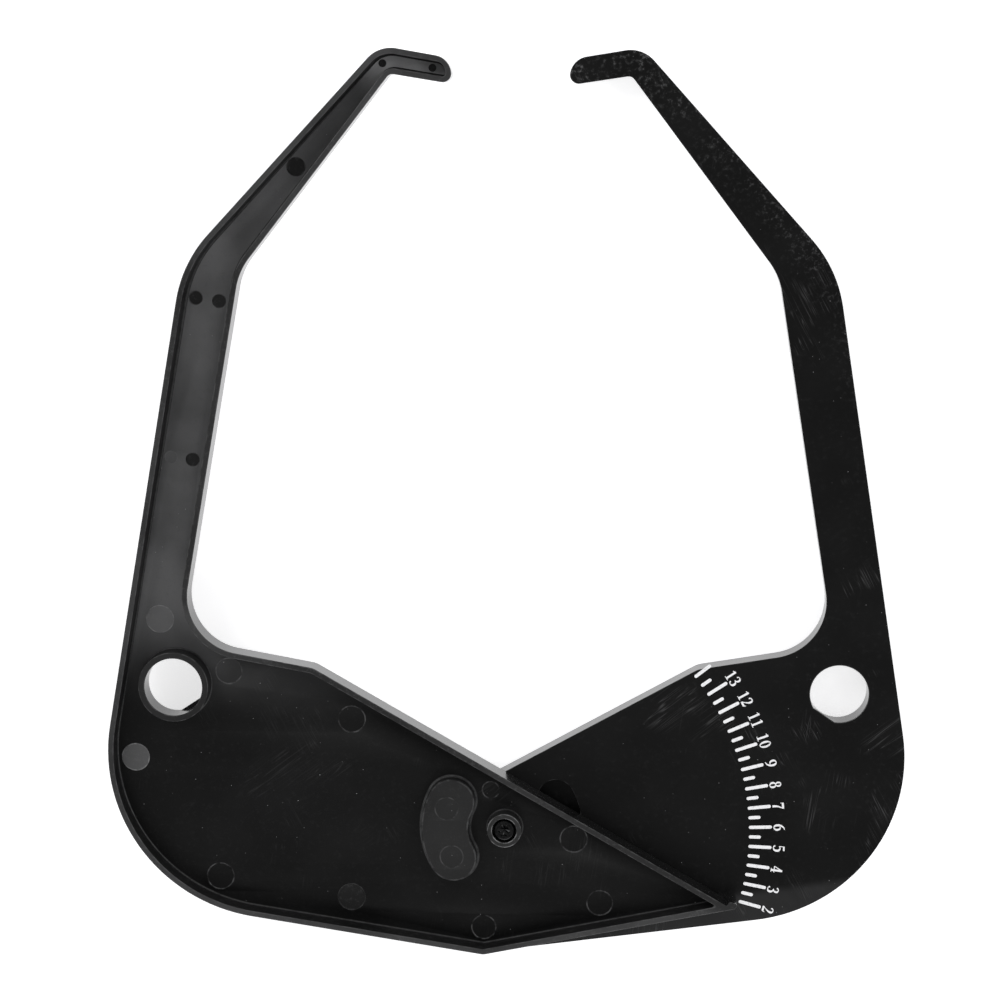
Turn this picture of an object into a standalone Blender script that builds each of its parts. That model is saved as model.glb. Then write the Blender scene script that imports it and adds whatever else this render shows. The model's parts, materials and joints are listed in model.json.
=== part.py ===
"""Rim width caliper: two copies of one moulded tray arm, one flipped, on a friction pivot.

The caliper lies flat. +Z is up and the jaws point to +Y. The lower arm has its ribs down and its
smooth face up, and the upper arm is the same moulding turned over on top of it. A peg on each
smooth face runs in the arc groove of the other arm and stops it at both ends of the scale.
"""
import math

import bmesh
import bpy
from mathutils import Matrix, Vector

# Arm outline. The origin of an arm is its pivot, and its body lies on its +X side.
JAW_LENGTH = 0.3468         # pivot to the top of the jaw
BODY_WIDTH = 0.1902         # pivot to the corner that the elbow rounds off
NOSE_RADIUS = 0.004
NOSE_TOP_RADIUS = 0.009
JAW_TOP_RADIUS = 0.0138
JAW_INNER_RADIUS = 0.003
SHOULDER_RADIUS = 0.057
SHOULDER_INNER_RADIUS = 0.029
CROTCH_RADIUS = 0.0255
THROAT_RADIUS = 0.010
ELBOW_RADIUS = 0.0755
HEEL_RADIUS = 0.006
POINTER_RADIUS = 0.0004

# Arm section, measured from the smooth face
ARM_DEPTH = 0.012
PLATE = 0.003
RIM_RIB = 0.003
POCKET_CORNER = 0.0008      # smallest rounding of the pocket inside the rim rib
NIB_RADIUS = 0.0023         # rounded reading nib on the end of the pointer
NIB_RISE = 0.0019           # the nib's centre above the pointer's corner
NIB_BACK = 0.0005           # and behind it
NIB_STEP = 0.0002           # the nib's faces below the arm's

# Hanging hole near the elbow, in a raised boss, with the thin web that the mould's gate left in it
HOLE_RADIUS = 0.013
HOLE_BOSS_WALL = 0.0036
HOLE_BOSS_DROP = 0.0005     # boss top below the rim rib's top
GATE_WEB = 0.0012
GATE_WEB_START_DEGREES = 210.0
GATE_WEB_END_DEGREES = 262.0

# Pegs and arc grooves that limit the opening
GROOVE_RADIUS = 0.0269      # pivot to the groove's middle line
GROOVE_HALF_WIDTH = 0.0087
GROOVE_DEPTH = 0.0055
GROOVE_WALL = 0.0024        # wall left round the groove, which shows as a kidney on the ribbed side
GROOVE_START_DEGREES = -29.5
PEG_HEIGHT = 0.005

# The printed scale reads the gap between the noses: its two ends set how far the caliper opens
FIRST_READING_WIDTH = 0.0508    # 2 in
LAST_READING_WIDTH = 0.3556     # 14 in

# Pivot fastener
SHANK_RADIUS = 0.0025
HEAD_RADIUS = 0.0047
HEAD_HEIGHT = 0.0028
HEAD_ROUNDING = 0.0009
STAR_RADIUS = 0.0030
STAR_DEPTH = 0.0020
SCREW_PAST_NUT = 0.0004
SCREW_CHAMFER = 0.0004
PIVOT_BOSS_HEIGHT = 0.010   # from the smooth face to the top of the pivot boss
PIVOT_BOSS_WALL = 0.0024
COUNTERBORE_DEPTH = 0.005
WASHER_RADIUS = 0.0045
WASHER_THICKNESS = 0.0008
WAVE_HEIGHT = 0.0002        # half the swing of the wave washer
NUT_ACROSS_FLATS = 0.0080
NUT_HEIGHT = 0.0047
NUT_COLLAR_HEIGHT = 0.0016
NUT_COLLAR_RADIUS = 0.0038
NUT_LIP = 0.0004
INSERT_WALL = 0.0006

# Clearances
FACE_GAP = 0.0003           # between faces that bear on each other
SIDE_GAP = 0.0003           # round the shank, the head, the nut and the pegs
THREAD_GAP = 0.0001         # between shank, nut and insert
OVERRUN = 0.002             # how far a cutter runs past what it cuts

# Fractions of BODY_WIDTH and JAW_LENGTH for the outline's corners, counter-clockwise from the nose
CORNER_SHARES = {
    "nose": (0.1261, 0.9521),
    "jaw_inner": (0.2728, 0.9647),
    "shoulder_inner": (0.6178, 0.7183),
    "crotch": (0.7656, 0.2419),
    "throat": (0.4502, 0.2118),
    "pointer": (-0.5415, -0.0930),
    "heel": (0.0469, -0.1655),
    "elbow": (1.0, -0.0888),
    "shoulder": (0.7506, 0.7282),
    "jaw_top": (0.2971, 1.0),
    "nose_top": (0.1402, 0.9855),
}
CORNER_RADII = {
    "nose": NOSE_RADIUS, "jaw_inner": JAW_INNER_RADIUS, "shoulder_inner": SHOULDER_INNER_RADIUS,
    "crotch": CROTCH_RADIUS, "throat": THROAT_RADIUS, "pointer": POINTER_RADIUS,
    "heel": HEEL_RADIUS, "elbow": ELBOW_RADIUS, "shoulder": SHOULDER_RADIUS,
    "jaw_top": JAW_TOP_RADIUS, "nose_top": NOSE_TOP_RADIUS,
}
HOLE_SHARES = (0.7814, 0.1827)
READING_SHARE = 0.9631      # pivot to the nose's contact point, as a share of JAW_LENGTH
FILLET_LIMIT_SHARE = 0.48   # a fillet takes at most this share of the shorter edge beside it
STAR_LOBE_SHARE = 0.14      # swing of the six-lobed recess, as a share of its radius
STAR_POINT_SHARE = 0.35     # depth of the recess's pointed end, as a share of its radius

ARC_STEP_DEGREES = 6.0
ROUND_STEPS = 64
STAR_STEPS = 72
STAR_LOBES = 6
WAVES = 3
SMOOTH_DEGREES = 32.0

# Worked out from the sizes above
READING_RADIUS = READING_SHARE * JAW_LENGTH     # radius of the scale's chord law
FIRST_READING_DEGREES = 2.0 * math.degrees(math.asin(FIRST_READING_WIDTH / (2.0 * READING_RADIUS)))
LAST_READING_DEGREES = 2.0 * math.degrees(math.asin(LAST_READING_WIDTH / (2.0 * READING_RADIUS)))
TRAVEL_DEGREES = LAST_READING_DEGREES - FIRST_READING_DEGREES
GROOVE_END_DEGREES = GROOVE_START_DEGREES + TRAVEL_DEGREES
PEG_DEGREES = 180.0 - GROOVE_START_DEGREES
PEG_RADIUS = GROOVE_HALF_WIDTH - SIDE_GAP
KIDNEY_HEIGHT = GROOVE_DEPTH + GROOVE_WALL
BORE_RADIUS = SHANK_RADIUS + SIDE_GAP
COUNTERBORE_RADIUS = max(HEAD_RADIUS, NUT_ACROSS_FLATS / math.sqrt(3.0)) + SIDE_GAP
PIVOT_BOSS_RADIUS = COUNTERBORE_RADIUS + PIVOT_BOSS_WALL
HOLE_BOSS_RADIUS = HOLE_RADIUS + HOLE_BOSS_WALL
LOWER_FACE = ARM_DEPTH                      # height of the lower arm's smooth face
UPPER_FACE = LOWER_FACE + FACE_GAP          # height of the upper arm's smooth face
UPPER_SEAT = UPPER_FACE + PIVOT_BOSS_HEIGHT - COUNTERBORE_DEPTH
LOWER_SEAT = LOWER_FACE - PIVOT_BOSS_HEIGHT + COUNTERBORE_DEPTH
HEAD_UNDERSIDE = UPPER_SEAT + WASHER_THICKNESS + 2.0 * (WAVE_HEIGHT + FACE_GAP)
NUT_TOP = LOWER_SEAT - WASHER_THICKNESS - 2.0 * FACE_GAP
NUT_BOTTOM = NUT_TOP - NUT_HEIGHT
THREAD_RADIUS = SHANK_RADIUS + THREAD_GAP


def clear_scene():
    """Remove the objects of the scene that Blender starts with."""
    for item in list(bpy.data.objects):
        bpy.data.objects.remove(item, do_unlink=True)


def finish(name, colour, roughness, metallic):
    """One Principled material."""
    material = bpy.data.materials.new(name)
    material.use_nodes = True
    shader = material.node_tree.nodes["Principled BSDF"]
    shader.inputs["Base Color"].default_value = (*colour, 1.0)
    shader.inputs["Roughness"].default_value = roughness
    shader.inputs["Metallic"].default_value = metallic
    return material


def on_circle(radius, degrees, centre=(0.0, 0.0)):
    """The point at an angle on a circle."""
    angle = math.radians(degrees)
    return Vector((centre[0] + radius * math.cos(angle), centre[1] + radius * math.sin(angle)))


def arc(radius, start, end, centre=(0.0, 0.0), step=ARC_STEP_DEGREES):
    """Points along an arc, both ends included."""
    count = max(2, math.ceil(abs(end - start) / step))
    return [on_circle(radius, start + (end - start) * i / count, centre) for i in range(count + 1)]


def outline_corners():
    """The arm's corners as (point, fillet radius), counter-clockwise."""
    return [(Vector((x * BODY_WIDTH, y * JAW_LENGTH)), CORNER_RADII[name])
            for name, (x, y) in CORNER_SHARES.items()]


def inset_corners(corners, distance):
    """The same corners after every edge has moved inwards by a distance."""
    count = len(corners)
    inner = []
    for i, (point, radius) in enumerate(corners):
        before = (point - corners[i - 1][0]).normalized()
        after = (corners[(i + 1) % count][0] - point).normalized()
        turn = before.cross(after)
        left_before = Vector((-before.y, before.x))
        left_after = Vector((-after.y, after.x))
        shift = (left_before + left_after) * (distance / (1.0 + left_before.dot(left_after)))
        change = -distance if turn > 0.0 else distance
        inner.append((point + shift, max(radius + change, POCKET_CORNER)))
    return inner


def rounded(corners):
    """A closed outline whose corners are rounded by arcs."""
    count = len(corners)
    points = []
    for i, (point, radius) in enumerate(corners):
        back = corners[i - 1][0] - point
        ahead = corners[(i + 1) % count][0] - point
        half = back.angle(ahead) / 2.0
        reach = min(radius / math.tan(half), FILLET_LIMIT_SHARE * min(back.length, ahead.length))
        radius = reach * math.tan(half)
        middle = (back.normalized() + ahead.normalized()).normalized()
        centre = point + middle * (radius / math.sin(half))
        first = point + back.normalized() * reach - centre
        last = point + ahead.normalized() * reach - centre
        start = math.degrees(math.atan2(first.y, first.x))
        sweep = math.degrees(math.atan2(first.cross(last), first.dot(last)))
        points += arc(radius, start, start + sweep, centre)
    return points


def mesh_object(name, build):
    """A new object whose mesh is filled by a function that gets the bmesh."""
    mesh = bpy.data.meshes.new(name)
    work = bmesh.new()
    build(work)
    bmesh.ops.recalc_face_normals(work, faces=work.faces)
    work.to_mesh(mesh)
    work.free()
    item = bpy.data.objects.new(name, mesh)
    bpy.context.scene.collection.objects.link(item)
    return item


def prism(name, outline, low, high):
    """An outline extruded from one height to another."""
    def build(work):
        bottom = [work.verts.new((p.x, p.y, low)) for p in outline]
        top = [work.verts.new((p.x, p.y, high)) for p in outline]
        work.faces.new(list(reversed(bottom)))
        work.faces.new(top)
        for i, corner in enumerate(bottom):
            j = (i + 1) % len(bottom)
            work.faces.new((corner, bottom[j], top[j], top[i]))
    return mesh_object(name, build)


def disc(name, radius, low, high, centre=(0.0, 0.0)):
    """A plain round prism."""
    outline = [on_circle(radius, 360.0 * i / ROUND_STEPS, centre) for i in range(ROUND_STEPS)]
    return prism(name, outline, low, high)


def turned(name, profile, ring=True):
    """A turned piece about Z from (radius, height) points: a ring, or a solid with flat ends."""
    def build(work):
        loops = []
        for radius, height in profile:
            points = [on_circle(radius, 360.0 * i / ROUND_STEPS) for i in range(ROUND_STEPS)]
            loops.append([work.verts.new((p.x, p.y, height)) for p in points])
        pairs = list(zip(loops, loops[1:]))
        if ring:
            pairs.append((loops[-1], loops[0]))
        else:
            work.faces.new(loops[0])
            work.faces.new(loops[-1])
        for one, two in pairs:
            for i in range(ROUND_STEPS):
                j = (i + 1) % ROUND_STEPS
                work.faces.new((one[i], one[j], two[j], two[i]))
    return mesh_object(name, build)


def combine(base, operation, tools):
    """Apply a run of exact Booleans to the base and delete the tools."""
    for tool in tools:
        modifier = base.modifiers.new(tool.name, "BOOLEAN")
        modifier.operation = operation
        modifier.solver = "EXACT"
        modifier.object = tool
    graph = bpy.context.evaluated_depsgraph_get()
    mesh = bpy.data.meshes.new_from_object(base.evaluated_get(graph))
    base.modifiers.clear()
    base.data = mesh
    for tool in tools:
        bpy.data.objects.remove(tool, do_unlink=True)
    return base


def arc_slot(half_width):
    """Outline of a slot with round ends that follows the groove's arc about the pivot."""
    start, end = GROOVE_START_DEGREES, GROOVE_END_DEGREES
    outer = arc(GROOVE_RADIUS + half_width, start, end)
    far_end = arc(half_width, end, end + 180.0, on_circle(GROOVE_RADIUS, end))
    inner = arc(GROOVE_RADIUS - half_width, end, start)
    near_end = arc(half_width, start + 180.0, start + 360.0, on_circle(GROOVE_RADIUS, start))
    return outer[:-1] + far_end[:-1] + inner[:-1] + near_end[:-1]


def hole_centre():
    """Centre of the hanging hole."""
    return (HOLE_SHARES[0] * BODY_WIDTH, HOLE_SHARES[1] * JAW_LENGTH)


def hole_cutter():
    """Cutter for the hanging hole, cut short over the thin web level with the smooth face."""
    start, end = GATE_WEB_START_DEGREES, GATE_WEB_END_DEGREES
    web = arc(HOLE_RADIUS, start, end, hole_centre())
    open_side = arc(HOLE_RADIUS, end, start + 360.0, hole_centre())

    def build(work):
        circle = open_side + web[1:-1]
        low = [work.verts.new((p.x, p.y, -ARM_DEPTH - OVERRUN)) for p in circle]
        ledge = [work.verts.new((p.x, p.y, -GATE_WEB)) for p in circle]
        high = [work.verts.new((p.x, p.y, OVERRUN)) for p in open_side]
        last = len(open_side) - 1
        work.faces.new(list(reversed(low)))
        for i, corner in enumerate(low):
            j = (i + 1) % len(low)
            work.faces.new((corner, low[j], ledge[j], ledge[i]))
        for i in range(last):
            work.faces.new((ledge[i], ledge[i + 1], high[i + 1], high[i]))
        work.faces.new((ledge[last], ledge[0], high[0], high[last]))
        work.faces.new(ledge[last:] + ledge[:1])
        work.faces.new(high)
    return mesh_object("hole", build)


def arm_mesh():
    """The moulding, with its smooth face at height zero and its ribs pointing down."""
    corners = outline_corners()
    arm = prism("arm", rounded(corners), -ARM_DEPTH, 0.0)
    pointer = corners[list(CORNER_SHARES).index("pointer")][0]
    nib_centre = (pointer.x + NIB_BACK, pointer.y + NIB_RISE)
    combine(arm, "UNION", [disc("nib", NIB_RADIUS, NIB_STEP - ARM_DEPTH, -NIB_STEP, nib_centre)])
    pocket = rounded(inset_corners(corners, RIM_RIB))
    combine(arm, "DIFFERENCE", [prism("pocket", pocket, -ARM_DEPTH - OVERRUN, -PLATE)])
    combine(arm, "UNION", [
        disc("hole_boss", HOLE_BOSS_RADIUS, HOLE_BOSS_DROP - ARM_DEPTH, -PLATE / 2.0, hole_centre()),
        prism("kidney", arc_slot(GROOVE_HALF_WIDTH + GROOVE_WALL), -KIDNEY_HEIGHT, -PLATE / 2.0),
        disc("pivot_boss", PIVOT_BOSS_RADIUS, -PIVOT_BOSS_HEIGHT, -PLATE / 2.0),
        disc("peg", PEG_RADIUS, -PLATE / 2.0, PEG_HEIGHT, on_circle(GROOVE_RADIUS, PEG_DEGREES)),
    ])
    seat = COUNTERBORE_DEPTH - PIVOT_BOSS_HEIGHT
    combine(arm, "DIFFERENCE", [
        hole_cutter(),
        prism("groove", arc_slot(GROOVE_HALF_WIDTH), -GROOVE_DEPTH, OVERRUN),
        disc("bore", BORE_RADIUS, -ARM_DEPTH - OVERRUN, OVERRUN),
        disc("counterbore", COUNTERBORE_RADIUS, -ARM_DEPTH - OVERRUN, seat),
    ])
    mesh = arm.data
    bpy.data.objects.remove(arm, do_unlink=True)
    return mesh


def place_arms(pivot, material):
    """The lower arm as moulded, and the upper arm turned over about its long axis."""
    mesh = arm_mesh()
    mesh.materials.clear()
    mesh.materials.append(material)
    arms = {}
    for name, height, turn in (("right_arm", LOWER_FACE, 0.0), ("left_arm", UPPER_FACE, math.pi)):
        arms[name] = bpy.data.objects.new(name, mesh)
        bpy.context.scene.collection.objects.link(arms[name])
        arms[name].parent = pivot
        arms[name].location = (0.0, 0.0, height)
        arms[name].rotation_euler = (0.0, turn, 0.0)
    return arms


def star_outline():
    """Six-lobed outline of the driver recess."""
    points = []
    for i in range(STAR_STEPS):
        degrees = 360.0 * i / STAR_STEPS
        swing = STAR_LOBE_SHARE * math.cos(math.radians(STAR_LOBES * degrees))
        points.append(on_circle(STAR_RADIUS * (1.0 - STAR_LOBE_SHARE + swing), degrees))
    return points


def star_cutter(floor, top):
    """Cutter for the driver recess, with a shallow point under its floor."""
    def build(work):
        low = [work.verts.new((p.x, p.y, floor)) for p in star_outline()]
        high = [work.verts.new((p.x, p.y, top)) for p in star_outline()]
        point = work.verts.new((0.0, 0.0, floor - STAR_RADIUS * STAR_POINT_SHARE))
        work.faces.new(high)
        for i, corner in enumerate(low):
            j = (i + 1) % len(low)
            work.faces.new((corner, low[j], high[j], high[i]))
            work.faces.new((point, low[j], corner))
    return mesh_object("recess", build)


def pivot_screw():
    """Pan head screw with a six-lobed recess, from its head down to its chamfered end."""
    top = HEAD_UNDERSIDE + HEAD_HEIGHT
    end = NUT_BOTTOM - SCREW_PAST_NUT
    edge = [(HEAD_RADIUS - HEAD_ROUNDING * (1.0 - math.cos(math.radians(a))),
             top - HEAD_ROUNDING * (1.0 - math.sin(math.radians(a)))) for a in (90, 60, 30, 0)]
    profile = edge + [
        (HEAD_RADIUS, HEAD_UNDERSIDE),
        (SHANK_RADIUS, HEAD_UNDERSIDE),
        (SHANK_RADIUS, end + SCREW_CHAMFER),
        (SHANK_RADIUS - SCREW_CHAMFER, end),
    ]
    screw = turned("pivot_screw", profile, ring=False)
    return combine(screw, "DIFFERENCE", [star_cutter(top - STAR_DEPTH, top + OVERRUN)])


def wave_washer():
    """Spring washer under the head, a flat ring that swings up and down round its circle."""
    low = UPPER_SEAT + FACE_GAP + WAVE_HEIGHT
    section = [(WASHER_RADIUS, low), (WASHER_RADIUS, low + WASHER_THICKNESS),
               (BORE_RADIUS, low + WASHER_THICKNESS), (BORE_RADIUS, low)]
    washer = turned("wave_washer", section)
    for vertex in washer.data.vertices:
        angle = math.atan2(vertex.co.y, vertex.co.x)
        vertex.co.z += WAVE_HEIGHT * math.sin(WAVES * angle)
    return washer


def flat_washer():
    """Plain washer between the nut and its seat."""
    top = LOWER_SEAT - FACE_GAP
    return turned("flat_washer", [
        (WASHER_RADIUS, top - WASHER_THICKNESS), (WASHER_RADIUS, top),
        (BORE_RADIUS, top), (BORE_RADIUS, top - WASHER_THICKNESS)])


def lock_nut():
    """Hexagon nut with a round collar that holds the locking ring."""
    corner = NUT_ACROSS_FLATS / math.sqrt(3.0)
    hexagon = [on_circle(corner, 60.0 * i) for i in range(6)]
    step = NUT_BOTTOM + NUT_COLLAR_HEIGHT
    nut = prism("lock_nut", hexagon, step, NUT_TOP)
    collar = disc("collar", NUT_COLLAR_RADIUS, NUT_BOTTOM, (step + NUT_TOP) / 2.0)
    seat_radius = THREAD_RADIUS + INSERT_WALL + THREAD_GAP
    seat = disc("insert_seat", seat_radius, NUT_BOTTOM + NUT_LIP, step)
    bore = disc("thread", THREAD_RADIUS, NUT_BOTTOM - OVERRUN, NUT_TOP + OVERRUN)
    combine(nut, "UNION", [collar])
    return combine(nut, "DIFFERENCE", [seat, bore])


def nut_insert():
    """Locking ring inside the nut's collar."""
    low = NUT_BOTTOM + NUT_LIP + THREAD_GAP
    high = NUT_BOTTOM + NUT_COLLAR_HEIGHT - THREAD_GAP
    outer = THREAD_RADIUS + INSERT_WALL
    return turned("nut_insert", [
        (outer, low), (outer, high), (THREAD_RADIUS, high), (THREAD_RADIUS, low)])


def shade(item):
    """Smooth shading on round faces, sharp edges elsewhere."""
    item.data.shade_smooth()
    item.data.set_sharp_from_angle(angle=math.radians(SMOOTH_DEGREES))


def main():
    """Build the caliper with its box centred on the origin and its lowest face at height zero."""
    clear_scene()
    black = finish("black_plastic", (0.012, 0.012, 0.013), 0.45, 0.0)
    oxide = finish("black_oxide_steel", (0.02, 0.02, 0.022), 0.35, 0.9)
    zinc = finish("zinc_steel", (0.55, 0.56, 0.58), 0.35, 1.0)
    nylon = finish("nylon", (0.75, 0.76, 0.72), 0.5, 0.0)

    heights = [p.y for p in rounded(outline_corners())]
    pivot = bpy.data.objects.new("pivot", None)
    bpy.context.scene.collection.objects.link(pivot)
    pivot.matrix_world = Matrix.Translation((0.0, -(min(heights) + max(heights)) / 2.0, 0.0))

    arms = place_arms(pivot, black)
    fasteners = {
        pivot_screw(): oxide, wave_washer(): oxide, flat_washer(): zinc,
        lock_nut(): zinc, nut_insert(): nylon,
    }
    for item, material in fasteners.items():
        item.data.materials.append(material)
        item.parent = pivot
        shade(item)
    shade(arms["right_arm"])
    bpy.context.view_layer.update()


main()
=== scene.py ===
"""Looks of a rim width caliper: two black moulded tray arms, a printed inch scale and a sunk pivot screw.

The lower arm lies with its smooth face and its scale up. The upper arm is the same moulding turned over, so
its ribs, bosses and ejector marks show. Both arms are grown from loops of points that follow one outline.
"""
import json
import logging
import math
from collections.abc import Callable
from dataclasses import dataclass
from enum import Enum
from typing import NamedTuple

import bmesh
import bpy
from mathutils import Matrix, Vector
from mathutils.geometry import tessellate_polygon


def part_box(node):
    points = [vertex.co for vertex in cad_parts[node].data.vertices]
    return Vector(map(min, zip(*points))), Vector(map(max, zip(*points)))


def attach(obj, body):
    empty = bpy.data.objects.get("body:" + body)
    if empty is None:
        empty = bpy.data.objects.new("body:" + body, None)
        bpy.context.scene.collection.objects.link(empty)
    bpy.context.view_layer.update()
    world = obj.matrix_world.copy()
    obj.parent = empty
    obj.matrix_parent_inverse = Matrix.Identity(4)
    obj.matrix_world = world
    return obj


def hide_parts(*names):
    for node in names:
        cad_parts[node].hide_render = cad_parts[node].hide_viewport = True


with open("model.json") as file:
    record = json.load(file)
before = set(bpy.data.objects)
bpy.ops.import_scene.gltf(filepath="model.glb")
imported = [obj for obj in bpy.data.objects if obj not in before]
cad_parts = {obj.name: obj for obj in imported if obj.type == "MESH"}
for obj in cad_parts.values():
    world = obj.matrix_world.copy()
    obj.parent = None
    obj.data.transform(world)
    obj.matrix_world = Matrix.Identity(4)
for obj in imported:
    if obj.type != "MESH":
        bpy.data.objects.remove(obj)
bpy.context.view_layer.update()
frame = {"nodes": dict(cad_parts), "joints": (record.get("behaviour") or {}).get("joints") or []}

LOG = logging.getLogger("rim_width_caliper")

Points = list[Vector]
SHARP_DEGREES = 40.0        # facets that meet more steeply than this keep a sharp edge
CREST = 8                   # how many stations of a boss's profile belong to its top
Loop = list[bmesh.types.BMVert]
Socket = bpy.types.NodeSocket

# Corners of an arm's outline, counter-clockwise from the nose: shares of the body's width and of the jaw's
# length, and the fillet's radius in metres
CORNERS = {
    "nose": (0.1261, 0.9521, 0.004),
    "jaw_inner": (0.2728, 0.9647, 0.003),
    "shoulder_inner": (0.6178, 0.7183, 0.029),
    "crotch": (0.7656, 0.2419, 0.0255),
    "throat": (0.4502, 0.2118, 0.010),
    "pointer": (-0.5415, -0.0962, 0.0004),
    "heel": (0.0469, -0.1655, 0.006),
    "elbow": (1.0, -0.0888, 0.0755),
    "shoulder": (0.7506, 0.7282, 0.057),
    "jaw_top": (0.2971, 1.0, 0.0138),
    "nose_top": (0.1402, 0.9855, 0.009),
}


class Skin(Enum):
    """The surfaces of a moulding, in the order of its material slots."""

    FACE = 0
    SIDE = 1
    RIB = 2
    WALL = 3
    TRAY = 4
    PAD = 5
    HUB = 6
    PALE_MARK = 7
    DARK_MARK = 8


class MarkKind(Enum):
    """How an ejector pin left its mark: a thin lip, a pale flat disc or a dark sunk one."""

    RING = "ring"
    PALE = "pale"
    DARK = "dark"


class Mark(NamedTuple):
    """An ejector mark on the tray's floor: its place and radius in metres, and its kind."""

    x: float
    y: float
    radius: float = 0.0061
    kind: MarkKind = MarkKind.RING


class Station(NamedTuple):
    """A loop's place on a profile: offset from the shape's own line, height, and edge, 1 on an outer corner
    that gets wear and a painted highlight, -1 in a fillet that gets a painted highlight line."""

    offset: float
    height: float
    edge: float = 0.0


# The rim of each kind of mark: how far out and how high each loop lies, in millimetres
MARK_PROFILES = {
    MarkKind.RING: ((0.35, 0.0), (0.20, 0.08), (0.05, 0.12), (-0.10, 0.06), (-0.25, -0.08), (-0.40, -0.10)),
    MarkKind.PALE: ((0.30, 0.0), (0.18, 0.02), (0.08, 0.10), (-0.05, 0.14), (-0.30, 0.14)),
    MarkKind.DARK: ((0.30, 0.0), (0.20, 0.05), (0.08, 0.02), (0.0, -0.20), (-0.10, -0.34), (-0.30, -0.36)),
}
FULL_MARK = 0.004           # a smaller mark than this radius has a rim scaled down with it
# A mark's rim takes a painted highlight from its edge value.
MARK_EDGE = 0.8             # edge value on a mark's rim
TRAY_MARKS = (
    Mark(0.1557, 0.0927, kind=MarkKind.PALE),
    Mark(0.1675, 0.0289, kind=MarkKind.PALE),
    Mark(0.0693, 0.0484),
    Mark(0.1293, -0.0260),
    Mark(0.0092, -0.0472, 0.0055),
    Mark(-0.0432, -0.0346, 0.0058),
    Mark(-0.0311, -0.0050),
    Mark(0.1248, 0.0695, 0.0059),
    Mark(0.0694, -0.0344, kind=MarkKind.DARK),
    Mark(0.0065, 0.0170, 0.00385),
    Mark(0.1381, 0.2369, 0.0029, MarkKind.DARK),
    Mark(0.1278, 0.2356, 0.0029, MarkKind.DARK),
    Mark(0.1402, 0.1651, 0.0029, MarkKind.DARK),
    Mark(0.1500, 0.1661, 0.0027),
    Mark(0.0936, 0.2945, 0.0039, MarkKind.DARK),
    Mark(0.0558, 0.3392, 0.0016, MarkKind.DARK),
    Mark(0.0341, 0.3374, 0.0016, MarkKind.DARK),
)
KIDNEY_MARKS = (
    Mark(0.0261, 0.0092, 0.0052),
    Mark(0.0237, -0.0131, 0.0052),
)


def on_circle(radius: float, degrees: float, centre: Vector | None = None) -> Vector:
    """The point at an angle in degrees on a circle about a centre, or about the origin."""
    angle = math.radians(degrees)
    return Vector((math.cos(angle), math.sin(angle))) * radius + (centre or Vector((0.0, 0.0)))


def arc(radius: float, start: float, end: float, steps: int, centre: Vector | None = None) -> Points:
    """Points along an arc in equal steps, both ends included, its angles in degrees."""
    return [on_circle(radius, start + (end - start) * i / steps, centre) for i in range(steps + 1)]


def circle(radius: float, centre: Vector | None = None, steps: int = 72) -> Points:
    """Points round a whole circle, each once."""
    return arc(radius, 0.0, 360.0, steps, centre)[:-1]


def smooth_step(value: float, low: float, high: float) -> float:
    """A soft step from 0 at the low value to 1 at the high one."""
    share = min(1.0, max(0.0, (value - low) / (high - low)))
    return share * share * (3.0 - 2.0 * share)


def bend(offset: float, height: float, radius: float, out: int, up: int, edge: float = 1.0,
         steps: int = 5) -> list[Station]:
    """Stations round a corner, from its wall onto its face.

    Args:
        offset: The wall's offset.
        height: The face's height.
        radius: The rounding's radius.
        out: 1 if the face lies on the side of larger offsets, otherwise -1.
        up: 1 if the face is above the wall, otherwise -1.
        edge: The edge value of the stations.
        steps: How many facets the rounding has.

    Returns:
        The stations, the wall's first.
    """
    angles = [math.radians(90.0 * i / steps) for i in range(steps + 1)]
    return [
        Station(offset + out * radius * (1.0 - math.cos(a)), height - up * radius * (1.0 - math.sin(a)), edge)
        for a in angles]


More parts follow.
